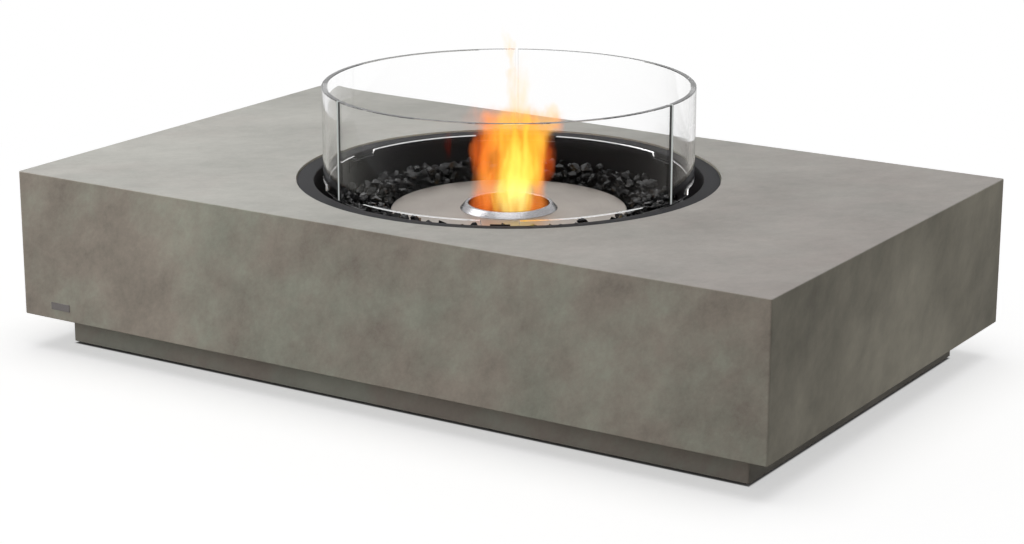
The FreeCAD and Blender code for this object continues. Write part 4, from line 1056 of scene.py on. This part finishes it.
def tongue(tree, at, row):
    """The gas of one tongue, thickest in its core, and the light that it gives."""
    across, deep, above, half_across, half_deep, half_high, strength, colour = row
    local = mapped(tree, at, "TEXTURE", Location=(across * MM, deep * MM, above * MM),
                   Scale=(half_across * MM, half_deep * MM, half_high * MM))
    gas = spread(tree, vector_maths(tree, "LENGTH", local), TONGUE_RIM, TONGUE_CORE, 0.0,
                 strength / (2 * half_deep * MM))
    return gas, vector_maths(tree, "SCALE", linear(colour)[:3], Scale=gas)


print(len(TONGUES), "tongues of flame")

# %% [markdown]
# Noise bends the tongues, more and more with height, and upright streaks of thinner, cooler gas run
# through them. A surface that glows would look like a lit lamp; a volume is soft at its rim and lets
# the glass and the table show through. Because the gas also absorbs light, thick parts settle at
# their colour and don't burn out to white.

# %% Flame
FLAME_SMOKE = 0.75
FLAME_STEP = 0.35
FLAME_TURN = (0.0, 0.0, math.radians(32.5))
SWIRL_SHIFT = (0.31, 0.12, 0.05)
COOLER_GAS = (1.0, 0.72, 0.45, 1.0)
SWIRL_MM = 34.0
LICK_MM = 14.0
FLAME_SPREAD = 38.0 * MM
FLAME_REACH = 285.0 * MM
flame_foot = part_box("perforated_disc")[1].z + 1.0 * MM


def bent_place(tree):
    """Coordinates over the burner's mouth, bent by a rising swirl."""
    upright = mapped(tree, object_place(tree), "TEXTURE", Location=(0.0, 0.0, collar_top),
                     Rotation=FLAME_TURN)
    rising = mapped(tree, upright, Location=SWIRL_SHIFT, Scale=(1.0, 1.0, 0.45))
    swirl = noise(tree, rising, SWIRL_MM, 3.0, 0.6, "Color")
    off = vector_maths(tree, "SUBTRACT", swirl, _1=(0.5, 0.5, 0.5))
    height = parts_of(tree, upright)[2]
    bend = spread(tree, height, 0.0, 200.0 * MM, 16.0 * MM, 70.0 * MM)
    return vector_maths(tree, "ADD", upright, _1=vector_maths(tree, "SCALE", off, Scale=bend))


def burning_gas():
    """Burning alcohol vapour: overlapping soft tongues of light in a thin smoke."""
    material, tree = empty_material("burning_gas")
    material.cycles.volume_step_rate = FLAME_STEP
    at = bent_place(tree)
    light = (0.0, 0.0, 0.0)
    density = 0.0
    for row in TONGUES:
        gas, tint = tongue(tree, at, row)
        density = maths(tree, "ADD", gas, density)
        light = vector_maths(tree, "ADD", tint, _1=light)
    licks = noise(tree, mapped(tree, at, Scale=(1.0, 1.0, 0.2)), LICK_MM, 2.5)
    streaks = spread(tree, licks, 0.38, 0.62, 0.4, 1.7)
    heat = blend(tree, spread(tree, licks, 0.4, 0.58), COOLER_GAS, WHITE)
    smoke_density = maths(tree, "MULTIPLY", maths(tree, "MULTIPLY", density, streaks), FLAME_SMOKE)
    smoke = add(tree, "ShaderNodeVolumeAbsorption", Color=(0.0, 0.0, 0.0, 1.0),
                Density=smoke_density)
    glow = add(tree, "ShaderNodeEmission", Color=vector_maths(tree, "MULTIPLY", light, _1=heat),
               Strength=streaks)
    both = add(tree, "ShaderNodeAddShader", _0=smoke.outputs[0], _1=glow.outputs[0])
    add(tree, "ShaderNodeOutputMaterial", Volume=both.outputs[0])
    return material


def make_flame_space(shape):
    """A closed tube round the flame: as narrow as the mouth below, wider above."""
    narrow = MOUTH - 1.0 * MM
    wide = MOUTH + FLAME_SPREAD
    profile = [
        (0.0, flame_foot), (narrow, flame_foot), (narrow, collar_top),
        (wide, collar_top + 40.0 * MM), (wide, collar_top + FLAME_REACH),
        (0.0, collar_top + FLAME_REACH),
    ]
    turn_profile(shape, profile, segments=48, closed=False)


flame = new_object("flame", make_flame_space, burning_gas())
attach(flame, "burner")
print("flame rises", round(FLAME_REACH / MM), "mm above the collar")

# %% [markdown]
# A small plate sits low on the front face. It's a strip of brushed metal, and it stays bare. The CAD
# box could be painted as it is, but its knife-sharp edges would show no line of light, so the plate
# is a block with softened corners.

# %% Front plate
PLATE_SOFTENING = 0.35 * MM
badge_low, badge_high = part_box("badge_plate")


def make_badge(shape):
    bmesh.ops.create_cube(shape, size=1.0)
    size = badge_high - badge_low
    centre = (badge_high + badge_low) / 2
    for corner in shape.verts:
        corner.co = Vector([c * s + m for c, s, m in zip(corner.co, size, centre)])
    bmesh.ops.bevel(shape, geom=list(shape.edges), offset=PLATE_SOFTENING, segments=3,
                    affect="EDGES")


badge_metal = plain_finish("satin_nickel_plate", "868281", 1.0, 0.42, 1.4, 0.02)
fit(new_object("front_plate", make_badge, badge_metal), "table", "badge_metal", "badge_plate")
